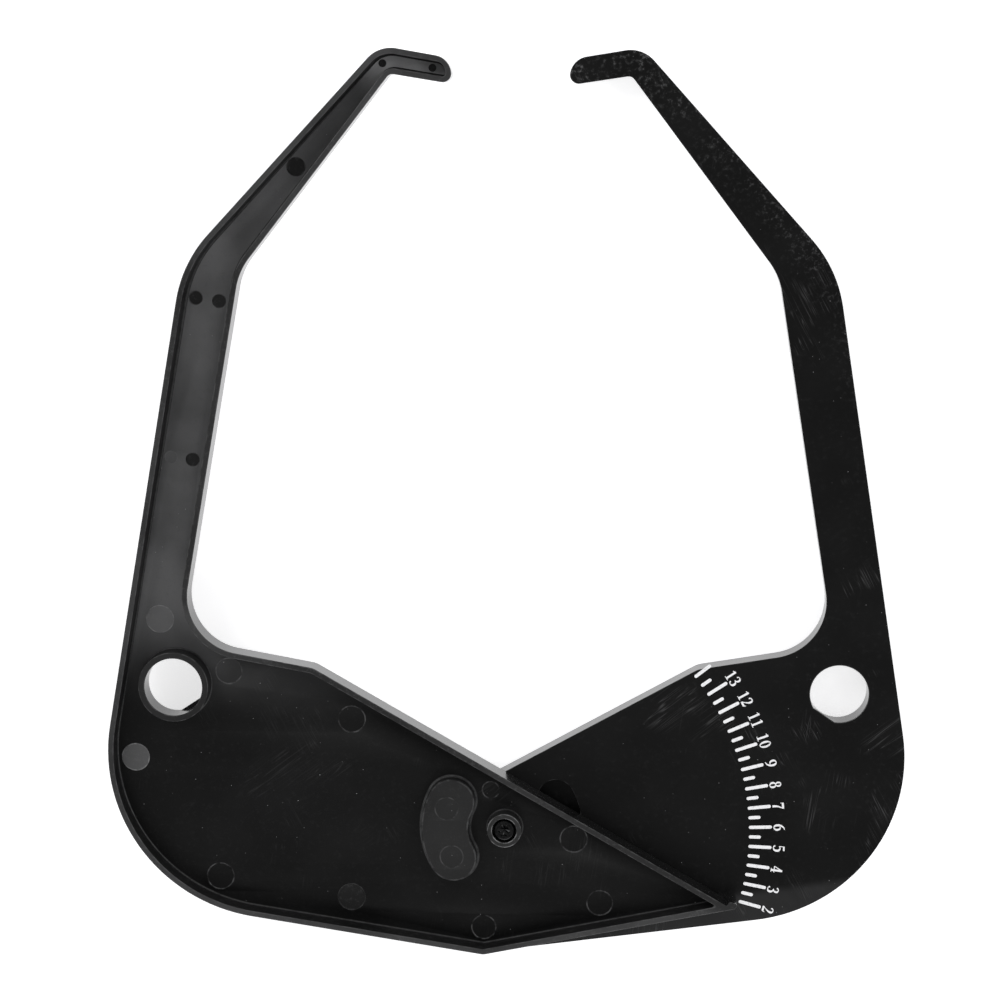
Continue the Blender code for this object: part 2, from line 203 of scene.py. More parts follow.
class Outline:
    """A closed outline with rounded corners. All its insets have the same count of points."""

    LIMIT_SHARE = 0.48      # a fillet takes at most this share of the shorter edge beside it
    FINE_STEP = 3.0         # degrees between the points of a large rounding
    FINE_RADIUS = 0.020     # the radius from which a rounding counts as large
    COARSEST = 4.0          # how much wider the step of a small rounding may be

    def __init__(self, corners: list[tuple[Vector, float]], smallest: float) -> None:
        """Keep the corners and count each rounding's steps.

        Args:
            corners: Each corner's place and radius, counter-clockwise.
            smallest: The smallest radius that an inset's corner may have.
        """
        self.corners = corners
        self.smallest = smallest
        self.steps = []
        for i, (place, radius) in enumerate(corners):
            before = place - corners[i - 1][0]
            after = corners[(i + 1) % len(corners)][0] - place
            turn = abs(math.degrees(math.atan2(before.cross(after), before.dot(after))))
            coarse = min(self.COARSEST, max(1.0, self.FINE_RADIUS / radius))
            self.steps.append(max(3, math.ceil(turn / (self.FINE_STEP * coarse))))

    def inset(self, distance: float) -> list[tuple[Vector, float]]:
        """The corners after every edge has moved inwards.

        Args:
            distance: How far the edges move.

        Returns:
            Each corner's new place and radius.
        """
        moved = []
        for i, (place, radius) in enumerate(self.corners):
            before = (place - self.corners[i - 1][0]).normalized()
            after = (self.corners[(i + 1) % len(self.corners)][0] - place).normalized()
            left_before = Vector((-before.y, before.x))
            left_after = Vector((-after.y, after.x))
            shift = (left_before + left_after) * (distance / (1.0 + left_before.dot(left_after)))
            change = -distance if before.cross(after) > 0.0 else distance
            moved.append((place + shift, max(radius + change, self.smallest)))
        return moved

    def ring(self, distance: float) -> Points:
        """The rounded outline after every edge has moved inwards.

        Args:
            distance: How far the edges move.

        Returns:
            The points, counter-clockwise.
        """
        corners = self.inset(distance)
        points = []
        for i, (place, radius) in enumerate(corners):
            back = corners[i - 1][0] - place
            ahead = corners[(i + 1) % len(corners)][0] - place
            half = back.angle(ahead) / 2.0
            reach = min(radius / math.tan(half), self.LIMIT_SHARE * min(back.length, ahead.length))
            middle = (back.normalized() + ahead.normalized()).normalized()
            centre = place + middle * (reach / math.cos(half))
            first = place + back.normalized() * reach - centre
            last = place + ahead.normalized() * reach - centre
            start = math.degrees(math.atan2(first.y, first.x))
            sweep = math.degrees(math.atan2(first.cross(last), first.dot(last)))
            points += arc(reach * math.tan(half), start, start + sweep, self.steps[i], centre)
        return points


class LoopMesh:
    """A closed mesh grown from loops of points, with bands between loops and flat caps with holes."""

    def __init__(self) -> None:
        """Start an empty mesh with an edge value on each point."""
        self.work = bmesh.new()
        self.edge = self.work.verts.layers.float.new("edge")

    def loop(self, points: Points, heights: float | list[float], edge: float = 0.0) -> Loop:
        """Add the points of one loop.

        Args:
            points: The loop's points in the plane.
            heights: One height for all points, or one for each.
            edge: The edge value of the points.

        Returns:
            The new vertices.
        """
        levels = heights if isinstance(heights, list) else [heights] * len(points)
        verts = [self.work.verts.new((p.x, p.y, z)) for p, z in zip(points, levels)]
        for vert in verts:
            vert[self.edge] = edge
        return verts

    def face(self, verts: Loop, skin: Skin) -> None:
        """Add one face with its vertices in order."""
        self.work.faces.new(verts).material_index = skin.value

    def band(self, one: Loop, two: Loop, skin: Skin) -> None:
        """Join two loops that have the same count of points.

        Args:
            one: The first loop.
            two: The second loop.
            skin: The band's surface.
        """
        for i, vert in enumerate(one):
            j = (i + 1) % len(one)
            self.face([vert, one[j], two[j], two[i]], skin)

    def sweep(self, shape: Callable[[float], Points], stations: list[Station], skin: Skin,
              start: Loop | None = None) -> tuple[Loop, Loop]:
        """Grow a band along a profile.

        Args:
            shape: Gives the points of the shape at an offset.
            stations: The profile.
            skin: The band's surface.
            start: A loop that the band begins from, or None.

        Returns:
            The first and the last loop.
        """
        loops = [start] if start else []
        loops += [self.loop(shape(s.offset), s.height, s.edge) for s in stations]
        for one, two in zip(loops, loops[1:]):
            self.band(one, two, skin)
        return loops[0], loops[-1]

    def cap(self, outer: Loop, holes: list[Loop], skin: Skin) -> None:
        """Fill a flat face.

        Args:
            outer: The loop round the face.
            holes: The loops of its holes.
            skin: The face's surface.
        """
        loops = [outer, *holes]
        verts = [vert for loop in loops for vert in loop]
        for corners in tessellate_polygon([[v.co.xy.to_3d() for v in loop] for loop in loops]):
            self.face([verts[i] for i in corners], skin)

    def mesh(self, name: str, place: Matrix) -> bpy.types.Mesh:
        """The finished mesh, its faces pointing out.

        Args:
            name: The mesh's name.
            place: Where the mesh goes.

        Returns:
            A smooth shaded mesh with sharp edges where facets meet steeply.
        """
        bmesh.ops.recalc_face_normals(self.work, faces=self.work.faces)
        open_edges = [e for e in self.work.edges if len(e.link_faces) != 2]
        if open_edges:
            LOG.warning("%s has %d open edges", name, len(open_edges))
        mesh = bpy.data.meshes.new(name)
        self.work.to_mesh(mesh)
        mesh.transform(place)
        mesh.shade_smooth()
        mesh.set_sharp_from_angle(angle=math.radians(SHARP_DEGREES))
        return mesh


def new_piece(name: str, mesh: bpy.types.Mesh) -> bpy.types.Object:
    """Put a mesh into the scene.

    Args:
        name: The piece's name.
        mesh: Its mesh, already in place.

    Returns:
        The piece, at the origin.
    """
    piece = bpy.data.objects.new(name, mesh)
    bpy.context.scene.collection.objects.link(piece)
    return piece


class NodeGraph:
    """Adds nodes to one tree and links them."""

    def __init__(self, tree: bpy.types.NodeTree) -> None:
        """Keep the tree."""
        self.tree = tree

    def feed(self, socket: Socket, value: object) -> None:
        """Link a socket to an input, or set the input's own value.

        Args:
            socket: The input.
            value: An output to link, or a plain value.
        """
        if isinstance(value, Socket):
            self.tree.links.new(value, socket)
        else:
            socket.default_value = value

    def add(self, kind: str, inputs: dict[str | int, object] | None = None,
            **settings: object) -> bpy.types.Node:
        """Add a node.

        Args:
            kind: The node's type.
            inputs: What each input, by name or number, is linked or set to.
            **settings: The node's own properties.

        Returns:
            The node.
        """
        node = self.tree.nodes.new(kind)
        for name, value in settings.items():
            setattr(node, name, value)
        for key, value in (inputs or {}).items():
            self.feed(node.inputs[key], value)
        return node

    def math(self, operation: str, *values: object) -> Socket:
        """The result of a Math node on its inputs."""
        return self.add("ShaderNodeMath", dict(enumerate(values)), operation=operation).outputs[0]

    def noise(self, vector: Socket, scale: object, detail: float, roughness: float = 0.5) -> Socket:
        """The value of a Noise Texture of so many cells a metre."""
        inputs = {"Vector": vector, "Scale": scale, "Detail": detail, "Roughness": roughness}
        return self.add("ShaderNodeTexNoise", inputs).outputs["Fac"]

    def ramp(self, value: object, low: object, high: object, start: float = 0.0,
             end: float = 1.0) -> Socket:
        """A soft clamped ramp, from start at low to end at high."""
        inputs = {"Value": value, "From Min": low, "From Max": high, "To Min": start, "To Max": end}
        return self.add("ShaderNodeMapRange", inputs, interpolation_type="SMOOTHSTEP").outputs["Result"]

    def blend(self, factor: object, one: object, two: object) -> Socket:
        """A mix of two colours.

        Args:
            factor: How much of the second colour shows.
            one: The first colour, a socket or four numbers.
            two: The second colour.

        Returns:
            The mixed colour.
        """
        node = self.add("ShaderNodeMix", data_type="RGBA")
        self.feed(node.inputs[0], factor)
        self.feed(node.inputs[6], one)
        self.feed(node.inputs[7], two)
        return node.outputs[2]


def new_group(name: str, kind: str, inputs: dict[str, tuple[str, object]],
              outputs: dict[str, str]) -> tuple[NodeGraph, bpy.types.Node, bpy.types.Node]:
    """Start a node group.

    Args:
        name: The group's name.
        kind: The tree's type.
        inputs: Each input's socket type and default, by name.
        outputs: Each output's socket type, by name.

    Returns:
        The graph, its group input and its group output.
    """
    tree = bpy.data.node_groups.new(name, kind)
    for label, (socket, value) in inputs.items():
        made = tree.interface.new_socket(label, in_out="INPUT", socket_type=socket)
        if value is not None:
            made.default_value = value
    for label, socket in outputs.items():
        tree.interface.new_socket(label, in_out="OUTPUT", socket_type=socket)
    graph = NodeGraph(tree)
    return graph, graph.add("NodeGroupInput"), graph.add("NodeGroupOutput")


FLOAT, VECTOR = "NodeSocketFloat", "NodeSocketVector"


class Zone(NamedTuple):
    """A part of the object that a finish treats apart. It lies ahead along a direction in the plane, and
    amount is the tone or the strength that it gets there."""

    x: float
    y: float
    low: float
    high: float
    amount: float

    def mask(self, graph: NodeGraph, place: Socket) -> Socket:
        """A mask of the zone.

        Args:
            graph: The material's graph.
            place: Its coordinates.

        Returns:
            The socket: 0 before the zone and 1 inside it.
        """
        ahead = graph.add("ShaderNodeVectorMath", {0: place, 1: (self.x, self.y, 0.0)},
                          operation="DOT_PRODUCT")
        return graph.ramp(ahead.outputs["Value"], self.low, self.high)


class Effects:
    """The shader node groups that the finishes share."""

    def __init__(self) -> None:
        """Build every group once."""
        self.grain = self.build_grain()
        self.scratches = self.build_scratches()
        self.dust = self.build_dust()
        self.wear = self.build_wear()

    @staticmethod
    def build_grain() -> bpy.types.NodeTree:
        """Moulded grain: a height, and masks of its pale speckles and its haze.

        Returns:
            The group.
        """
        graph, given, result = new_group(
            "moulded_grain", "ShaderNodeTree", {"Vector": (VECTOR, None), "Scale": (FLOAT, 1800.0)},
            {"Height": FLOAT, "Speckle": FLOAT, "Bloom": FLOAT})
        vector, scale = given.outputs["Vector"], given.outputs["Scale"]
        fine = graph.noise(vector, scale, 2.0)
        wide = graph.noise(vector, graph.math("MULTIPLY", scale, 0.31), 1.0)
        height = graph.math("MULTIPLY_ADD", fine, 0.7, graph.math("MULTIPLY", wide, 0.3))
        graph.feed(result.inputs["Height"], height)
        both = graph.math("MULTIPLY_ADD", wide, 0.45, graph.math("MULTIPLY", fine, 0.55))
        graph.feed(result.inputs["Speckle"], graph.ramp(both, 0.53, 0.66))
        haze = graph.ramp(graph.noise(vector, 420.0, 5.0, 0.72), 0.50, 0.72)
        cloud = graph.ramp(graph.noise(vector, 75.0, 2.0), 0.36, 0.62, 0.25, 1.0)
        bloom = graph.math("MULTIPLY", haze, cloud)
        graph.feed(result.inputs["Bloom"], bloom)
        return graph.tree

    @staticmethod
    def build_scratches() -> bpy.types.NodeTree:
        """Fine scratches in three directions, in patches.

        Returns:
            The group.
        """
        graph, given, result = new_group(
            "scratches", "ShaderNodeTree", {"Vector": (VECTOR, None), "Width": (FLOAT, 0.03)},
            {"Mask": FLOAT})
        vector = given.outputs["Vector"]
        total = 0.0
        for degrees, along, across in ((8.0, 700.0, 22.0), (62.0, 30.0, 820.0), (-38.0, 26.0, 640.0)):
            turned = graph.add("ShaderNodeVectorRotate", {"Vector": vector, "Angle": math.radians(degrees)},
                               rotation_type="Z_AXIS").outputs["Vector"]
            drawn = graph.add("ShaderNodeVectorMath", {0: turned, 1: (along, across, 40.0)},
                              operation="MULTIPLY").outputs["Vector"]
            line = graph.noise(drawn, 1.0, 1.0)
            away = graph.math("ABSOLUTE", graph.math("SUBTRACT", line, 0.5))
            near = graph.ramp(away, 0.0, given.outputs["Width"], 1.0, 0.0)
            gate = graph.noise(turned, 34.0 + degrees / 8.0, 2.0)
            total = graph.math("ADD", total, graph.math("MULTIPLY", near, graph.ramp(gate, 0.60, 0.70)))
        graph.feed(result.inputs["Mask"], graph.math("MINIMUM", total, 1.0))
        return graph.tree

    @staticmethod
    def build_dust() -> bpy.types.NodeTree:
        """Sparse bright specks of lint and dust.

        Returns:
            The group.
        """
        graph, given, result = new_group(
            "dust", "ShaderNodeTree",
            {"Vector": (VECTOR, None), "Scale": (FLOAT, 300.0), "Size": (FLOAT, 0.00022)}, {"Mask": FLOAT})
        scale = given.outputs["Scale"]
        cells = graph.add("ShaderNodeTexVoronoi", {"Vector": given.outputs["Vector"], "Scale": scale})
        reach = graph.math("MULTIPLY", given.outputs["Size"], scale)
        red = graph.add("ShaderNodeSeparateColor", {"Color": cells.outputs["Color"]}).outputs["Red"]
        speck = graph.ramp(cells.outputs["Distance"], graph.math("MULTIPLY", reach, 0.5), reach, 1.0, 0.0)
        graph.feed(result.inputs["Mask"], graph.math("MULTIPLY", speck, graph.ramp(red, 0.45, 0.9)))
        return graph.tree

    @staticmethod
    def build_wear() -> bpy.types.NodeTree:
        """Pale paint on outer corners, partly wear and partly a painted highlight, and a painted highlight
        line in fillets, both broken up by noise.

        Returns:
            The group.
        """
        graph, given, result = new_group(
            "edge_wear_and_highlight", "ShaderNodeTree", {"Vector": (VECTOR, None), "Scale": (FLOAT, 260.0)},
            {"Worn And Highlight": FLOAT, "Fillet": FLOAT})
        edge = graph.add("ShaderNodeAttribute", attribute_name="edge").outputs["Fac"]
        noise = graph.noise(given.outputs["Vector"], given.outputs["Scale"], 3.0)
        broken = graph.ramp(noise, 0.38, 0.66)
        graph.feed(result.inputs["Worn And Highlight"], graph.math("MULTIPLY", graph.math("MAXIMUM", edge, 0.0), broken))
        inside = graph.math("MAXIMUM", graph.math("MULTIPLY", edge, -1.0), 0.0)
        line = graph.math("MULTIPLY", inside, graph.ramp(noise, 0.30, 0.60, 0.3, 1.0))
        graph.feed(result.inputs["Fillet"], line)
        return graph.tree


def grey(value: float) -> tuple[float, float, float, float]:
    """A neutral colour with its alpha."""
    return value, value, value * 1.02, 1.0


def new_material(name: str) -> tuple[bpy.types.Material, NodeGraph, bpy.types.Node]:
    """Start a material.

    Args:
        name: The material's name.

    Returns:
        The material, its graph and its Principled BSDF.
    """
    material = bpy.data.materials.new(name)
    material.use_nodes = True
    return material, NodeGraph(material.node_tree), material.node_tree.nodes["Principled BSDF"]


@dataclass(frozen=True)
class MouldedPlastic:
    """A finish of black moulded plastic, some with painted light and shade. Tones are linear greys, and
    amounts run from 0 to 1.
    """

    name: str
    tone: float
    roughness: float
    level: float = 0.5              # the shader's specular level
    patch: float = 0.25             # swing of the tone over broad patches
    grain: float = 1800.0           # grain cells a metre
    grain_depth: float = 0.00003
    speckle: float = 0.0
    speckle_tone: float = 0.12
    scratch: float = 0.0
    scratch_tone: float = 0.16
    dust: float = 0.0
    # wear on outer corners together with a painted highlight there
    wear: float = 0.0
    wear_tone: float = 0.10
    # painted highlight line in fillets
    fillet: float = 0.0
    fillet_tone: float = 0.09
    bloom_tone: float = 0.110
    # painted light and shade: parts whose tone follows how the light falls on them
    tones: tuple[Zone, ...] = ()    # parts with another tone
    blooms: tuple[Zone, ...] = ()   # parts with a pale mottled film

    DUST_TONE = 0.45

    def build(self, effects: Effects) -> bpy.types.Material:
        """Make the material.

        Args:
            effects: The shared node groups.

        Returns:
            The material.
        """
        material, graph, shader = new_material(self.name)
        place = graph.add("ShaderNodeTexCoord").outputs["Object"]
        broad = graph.noise(place, 28.0, 3.0)
        patch = graph.ramp(broad, 0.3, 0.7)
        colour = self.base(graph, place, patch)
        grain = graph.add("ShaderNodeGroup", node_tree=effects.grain)
        marks = graph.add("ShaderNodeGroup", node_tree=effects.scratches)
        specks = graph.add("ShaderNodeGroup", node_tree=effects.dust)
        wear = graph.add("ShaderNodeGroup", node_tree=effects.wear)
        for node in (grain, marks, specks, wear):
            graph.feed(node.inputs["Vector"], place)
        grain.inputs["Scale"].default_value = self.grain
        for zone in self.blooms:
            film = graph.math("MULTIPLY", zone.mask(graph, place), grain.outputs["Bloom"])
            colour = graph.blend(graph.math("MULTIPLY", film, zone.amount), colour, grey(self.bloom_tone))
        for mask, amount, tone in (
                (grain.outputs["Speckle"], self.speckle, self.speckle_tone),
                (marks.outputs["Mask"], self.scratch, self.scratch_tone),
                (wear.outputs["Worn And Highlight"], self.wear, self.wear_tone),
                (wear.outputs["Fillet"], self.fillet, self.fillet_tone),
                (specks.outputs["Mask"], self.dust, self.DUST_TONE)):
            if amount > 0.0:
                colour = graph.blend(graph.math("MULTIPLY", mask, amount), colour, grey(tone))
        graph.feed(shader.inputs["Base Color"], colour)
        shader.inputs["Specular IOR Level"].default_value = self.level
        rough = graph.math("MULTIPLY_ADD", patch, 0.10, self.roughness - 0.05)
        rough = graph.math("MULTIPLY_ADD", marks.outputs["Mask"], 0.25 * self.scratch, rough)
        graph.feed(shader.inputs["Roughness"], rough)
        bump = graph.add("ShaderNodeBump", {
            "Height": grain.outputs["Height"], "Distance": self.grain_depth, "Strength": 1.0})
        graph.feed(shader.inputs["Normal"], bump.outputs["Normal"])
        return material

    def base(self, graph: NodeGraph, place: Socket, patch: Socket) -> Socket:
        """The bare plastic's colour, with the painted light and shade of its tone zones.

        Args:
            graph: The material's graph.
            place: Its coordinates.
            patch: Its broad patches.

        Returns:
            The colour.
        """
        low, high = 1.0 - self.patch, 1.0 + self.patch
        colour = graph.blend(patch, grey(self.tone * low), grey(self.tone * high))
        for zone in self.tones:
            tone = graph.blend(patch, grey(zone.amount * low), grey(zone.amount * high))
            colour = graph.blend(zone.mask(graph, place), colour, tone)
        return colour


@dataclass(frozen=True)
class PrintedInk:
    """The scale's white screen ink."""

    name: str = "white_ink"
    tone: float = 0.86
    thin_tone: float = 0.62
    roughness: float = 0.5

    def build(self) -> bpy.types.Material:
        """Make the ink: white, a little thin in places.

        Returns:
            The material.
        """
        material, graph, shader = new_material(self.name)
        place = graph.add("ShaderNodeTexCoord").outputs["Object"]
        thin = graph.noise(place, 900.0, 3.0)
        colour = graph.blend(graph.ramp(thin, 0.52, 0.74), grey(self.tone), grey(self.thin_tone))
        graph.feed(shader.inputs["Base Color"], colour)
        shader.inputs["Roughness"].default_value = self.roughness
        bump = graph.add("ShaderNodeBump", {"Height": thin, "Distance": 0.00001})
        graph.feed(shader.inputs["Normal"], bump.outputs["Normal"])
        return material


@dataclass(frozen=True)
class FastenerFinish:
    """The finish of a pivot fastener: plated or blackened steel, or plain nylon."""

    name: str
    tone: float
    roughness: float
    metallic: float
    mottle: float = 0.3

    def build(self) -> bpy.types.Material:
        """Make the finish: a mottled film with a fine bump.

        Returns:
            The material.
        """
        material, graph, shader = new_material(self.name)
        place = graph.add("ShaderNodeTexCoord").outputs["Object"]
        film = graph.noise(place, 1400.0, 3.0)
        tone = grey(self.tone * (1.0 - self.mottle)), grey(self.tone * (1.0 + self.mottle))
        graph.feed(shader.inputs["Base Color"], graph.blend(graph.ramp(film, 0.35, 0.65), *tone))
        shader.inputs["Metallic"].default_value = self.metallic
        graph.feed(shader.inputs["Roughness"], graph.math("MULTIPLY_ADD", film, 0.2, self.roughness - 0.1))
        bump = graph.add("ShaderNodeBump", {"Height": film, "Distance": 0.00002})
        graph.feed(shader.inputs["Normal"], bump.outputs["Normal"])
        return material


# The left arm's floor, painted light: pale on the upright and in the nose, for the lamps' light on the upper
# arm and against the shade of the narrow nose pocket
ARM_FLOOR_PAINTED_LIGHT = (Zone(0.0, 1.0, -0.100, -0.035, 0.090), Zone(0.0, 1.0, 0.080, 0.130, 0.120),
             Zone(0.8, 0.6, 0.056, 0.070, 0.360))
# The left arm's rib top, painted light and shade: dark along the crossing edge, paler on the outer side and
# the jaw
RIB_PAINTED_LIGHT = (Zone(0.491, 0.871, -0.112, -0.106, 0.014), Zone(-1.0, 0.0, 0.146, 0.156, 0.028),
             Zone(0.0, 1.0, 0.090, 0.140, 0.034))
# The right arm's face: a painted reflection, paler beside its bottom edge
FACE_PAINTED_REFLECTION = (Zone(0.164, -0.986, 0.187, 0.192, 0.018),)
# The right arm's face: hazy everywhere a little, more along the jaw's outer edge and at the nose
FACE_HAZE = (Zone(0.0, 0.0, -2.0, -1.0, 0.05), Zone(0.95, 0.3, 0.150, 0.170, 0.30),
             Zone(0.738, 0.675, 0.160, 0.178, 0.55), Zone(-0.8, 0.6, 0.052, 0.078, 0.95))
# The fillet amounts paint a highlight line in fillets.
SKINS = {
    # The wear amounts paint wear together with a painted highlight on outer corners and mark rims.
    Skin.FACE: MouldedPlastic("smooth_face", 0.0022, 0.36, level=0.19, grain=900.0, grain_depth=0.000006,
                              scratch=0.2, dust=0.5, wear=0.7, wear_tone=0.06, tones=FACE_PAINTED_REFLECTION,
                              blooms=FACE_HAZE),
    Skin.SIDE: MouldedPlastic("outer_side", 0.008, 0.14, level=1.0, grain_depth=0.000004, wear=0.4,
                              scratch=0.1),
    Skin.RIB: MouldedPlastic("rib_top", 0.030, 0.45, level=0.3, grain=1500.0, speckle=0.3, speckle_tone=0.07,
                             wear=0.7, wear_tone=0.07, scratch=0.1, dust=0.3, tones=RIB_PAINTED_LIGHT),
    Skin.WALL: MouldedPlastic("tray_wall", 0.006, 0.45, level=0.3, grain=1700.0, speckle=0.25,
                              speckle_tone=0.06, fillet=0.35, fillet_tone=0.06),
    Skin.TRAY: MouldedPlastic("tray_floor", 0.0030, 0.50, level=0.16, grain=1600.0, speckle=0.10,
                              speckle_tone=0.03, dust=0.6, fillet=0.4, wear=0.8, tones=ARM_FLOOR_PAINTED_LIGHT,
                              scratch=0.06),
    Skin.PAD: MouldedPlastic("boss_top", 0.010, 0.60, level=0.25, grain=1500.0, speckle=0.10,
                             speckle_tone=0.05, dust=0.3, wear=0.4, fillet=0.4),
    # The pivot boss's rims get strong pale paint: a little wear, mostly a painted highlight.
    Skin.HUB: MouldedPlastic("pivot_boss_top", 0.010, 0.40, level=0.4, speckle=0.15, dust=0.4, wear=0.9,
                             wear_tone=0.18),
    Skin.PALE_MARK: MouldedPlastic("pale_mark", 0.080, 0.40, speckle=0.3, dust=0.5, wear=0.6, wear_tone=0.3),
    # dark ejector marks, and painted shade in the pivot's counterbore and bore
    Skin.DARK_MARK: MouldedPlastic("dark_mark", 0.004, 0.45, level=0.3, speckle=0.15, wear=0.5),
}


class Slot(NamedTuple):
    """A slot with round ends along an arc about the pivot. Its ends are in degrees."""

    radius: float
    half: float
    start: float
    end: float

    def ring(self, offset: float) -> Points:
        """Outline of the slot.

        Args:
            offset: How much wider it is on every side.

        Returns:
            The points, counter-clockwise.
        """
        half, start, end = self.half + offset, self.start, self.end
        return (arc(self.radius + half, start, end, 24)[:-1]
                + arc(half, end, end + 180.0, 30, on_circle(self.radius, end))[:-1]
                + arc(self.radius - half, end, start, 24)[:-1]
                + arc(half, start + 180.0, start + 360.0, 30, on_circle(self.radius, start))[:-1])


@dataclass
class Moulding:
    """One arm as moulded: pivot at the origin, smooth face at height zero, ribs down. Sizes in metres."""

    jaw_length: float = 0.3468
    body_width: float = 0.1902
    depth: float = 0.012
    plate: float = 0.003
    rib: float = 0.0026
    edge_radius: float = 0.0002         # rounding of the smooth face's edge
    rib_radius: float = 0.0003          # rounding of the rib's two edges
    draft: float = 0.00012
    trim: float = 0.00005               # how far the outline stands inside the CAD's
    support: float = 0.00015            # width of the narrow flat band beside a rounding
    fillet: float = 0.0005              # under the rib, in the body and in the jaw
    wide_fillet: float = 0.0010         # under the rib, on the upper arm
    pocket_corner: float = 0.0008
    nib_back: float = 0.0033            # along the pointer's upper edge to the reading nib's foot
    nib_height: float = 0.0028
    nib_ahead: float = 0.0010
    nib_radius: float = 0.0020
    nib_foot_radius: float = 0.0006
    tip_radius: float = 0.0012
    tip_ahead: float = 0.0009
    hole_x_share: float = 0.7814
    hole_y_share: float = 0.1827
    hole_radius: float = 0.013
    boss_wall: float = 0.0029
    boss_drop: float = 0.0005
    web: float = 0.0012                 # the thin web that the mould's gate left in the hole
    web_start: float = 210.0
    web_end: float = 262.0
    groove: Slot = Slot(0.0263, 0.0082, -29.5, 30.0)
    groove_depth: float = 0.0055
    kidney: Slot = Slot(0.0269, 0.0107, -31.0, 26.6)
    kidney_wall: float = 0.0024
    peg_height: float = 0.005
    peg_radius: float = 0.0080
    pivot_height: float = 0.010
    pivot_radius: float = 0.0078
    counterbore_radius: float = 0.0055
    counterbore_depth: float = 0.005
    bore_radius: float = 0.0028
    pivot_rounding: float = 0.0003
    hole_step: float = 4.0              # degrees between the hole's points, a divisor of both its arcs

    def plain_corners(self) -> list[tuple[Vector, float]]:
        """The outline's corners without the reading nib."""
        return [(Vector((x * self.body_width, y * self.jaw_length)), radius)
                for x, y, radius in CORNERS.values()]

    def nib_corners(self) -> list[tuple[Vector, float]]:
        """The outline's corners with the reading nib on the pointer's end.

        Returns:
            Each corner's place and its rounding's radius.
        """
        corners = self.plain_corners()
        i = list(CORNERS).index("pointer")
        pointer = corners[i][0]
        along = (corners[i - 1][0] - pointer).normalized()
        rise = Vector((-along.y, along.x)) * self.nib_height
        foot = pointer + along * self.nib_back
        corners[i:i + 1] = [
            (foot, self.nib_foot_radius),
            (foot + rise, self.nib_radius),
            (pointer - along * self.nib_ahead + rise, self.nib_radius),
            (pointer - Vector((self.tip_ahead, 0.0)), self.tip_radius),
        ]
        return corners

    def hole_centre(self) -> Vector:
        """Centre of the hanging hole."""
        return Vector((self.hole_x_share * self.body_width, self.hole_y_share * self.jaw_length))

    def build(self, name: str, place: Matrix) -> bpy.types.Mesh:
        """Grow the whole moulding.

        Args:
            name: The mesh's name.
            place: Where the mesh goes.

        Returns:
            The mesh, with a material index for each skin.
        """
        shell = LoopMesh()
        face_edge = self.grow_outside(shell)
        floor_edge = self.grow_pocket(shell)
        hole_base, hole_face = self.grow_hole(shell)
        pivot_base, bore_face = self.grow_pivot(shell)
        marks = [self.grow_mark(shell, mark, -self.plate) for mark in TRAY_MARKS]
        shell.cap(floor_edge, [hole_base, pivot_base, self.grow_kidney(shell), *marks], Skin.TRAY)
        shell.cap(face_edge, [hole_face, bore_face, self.grow_groove(shell), self.grow_peg(shell)], Skin.FACE)
        return shell.mesh(name, place)

    def grow_outside(self, shell: LoopMesh) -> Loop:
        """The outer side and the rib's outer edge. Keeps the rib's outer loop for the pocket.

        Args:
            shell: The mesh that grows.

        Returns:
            The loop round the smooth face.
        """
        outline = Outline(self.nib_corners(), self.edge_radius / 2.0)
        edge, rib, band, side = self.edge_radius, self.rib_radius, self.support, self.trim
        top = [Station(side + edge + band, 0.0), *reversed(bend(side, 0.0, edge, 1, 1)),
               Station(side, -edge - band)]
        face_edge, lower = shell.sweep(outline.ring, top, Skin.FACE)
        foot = bend(self.draft, -self.depth, rib, 1, -1)
        wall = [Station(self.draft, foot[0].height + band), foot[0]]
        _, lower = shell.sweep(outline.ring, wall, Skin.SIDE, lower)
        _, self.rib_outer = shell.sweep(
            outline.ring, [*foot[1:], Station(self.draft + rib + band, -self.depth)], Skin.RIB, lower)
        return face_edge

    def cove(self, point: Vector) -> float:
        """The fillet under the rib: soft on the upper arm, tight in the body and the jaw.

        Args:
            point: A point of the outline.

        Returns:
            The fillet's radius.
        """
        y = point.y / self.jaw_length
        upper = smooth_step(y, 0.28, 0.42) * (1.0 - smooth_step(y, 0.88, 0.92))
        return self.fillet + (self.wide_fillet - self.fillet) * upper

    def grow_pocket(self, shell: LoopMesh) -> Loop:
        """The rib's top, the pocket's wall and the fillet at its base.

        Args:
            shell: The mesh that grows.

        Returns:
            The loop round the tray's floor.
        """
        outline = Outline(self.plain_corners(), self.pocket_corner)
        rib, radius, band = self.rib, self.rib_radius, self.support
        crest = [Station(rib - radius - band, -self.depth), *reversed(bend(rib, -self.depth, radius, -1, -1))]
        rib_inner, lower = shell.sweep(outline.ring, crest, Skin.RIB)
        shell.cap(self.rib_outer, [rib_inner], Skin.RIB)
        wall = [Station(rib, -self.depth + radius + band)]
        _, lower = shell.sweep(outline.ring, wall, Skin.WALL, lower)
        foot = rib + self.draft
        base, ahead = outline.ring(foot), outline.ring(foot + self.fillet)
        turns = [(0.0, -1.0, 0.0), *((18.0 * i, 0.0, -1.0) for i in range(6)), (90.0, 1.0, 0.0)]
        for turn, flat, edge in turns:
            points, heights = [], []
            for one, two in zip(base, ahead):
                cove = self.cove(one)
                out = cove * (1.0 - math.cos(math.radians(turn))) + band * max(flat, 0.0)
                rise = cove * (1.0 - math.sin(math.radians(turn))) + band * max(-flat, 0.0)
                points.append(one + (two - one) * (out / self.fillet))
                heights.append(-self.plate - rise)
            upper = lower
            lower = shell.loop(points, heights, edge)
            shell.band(upper, lower, Skin.WALL)
        return lower

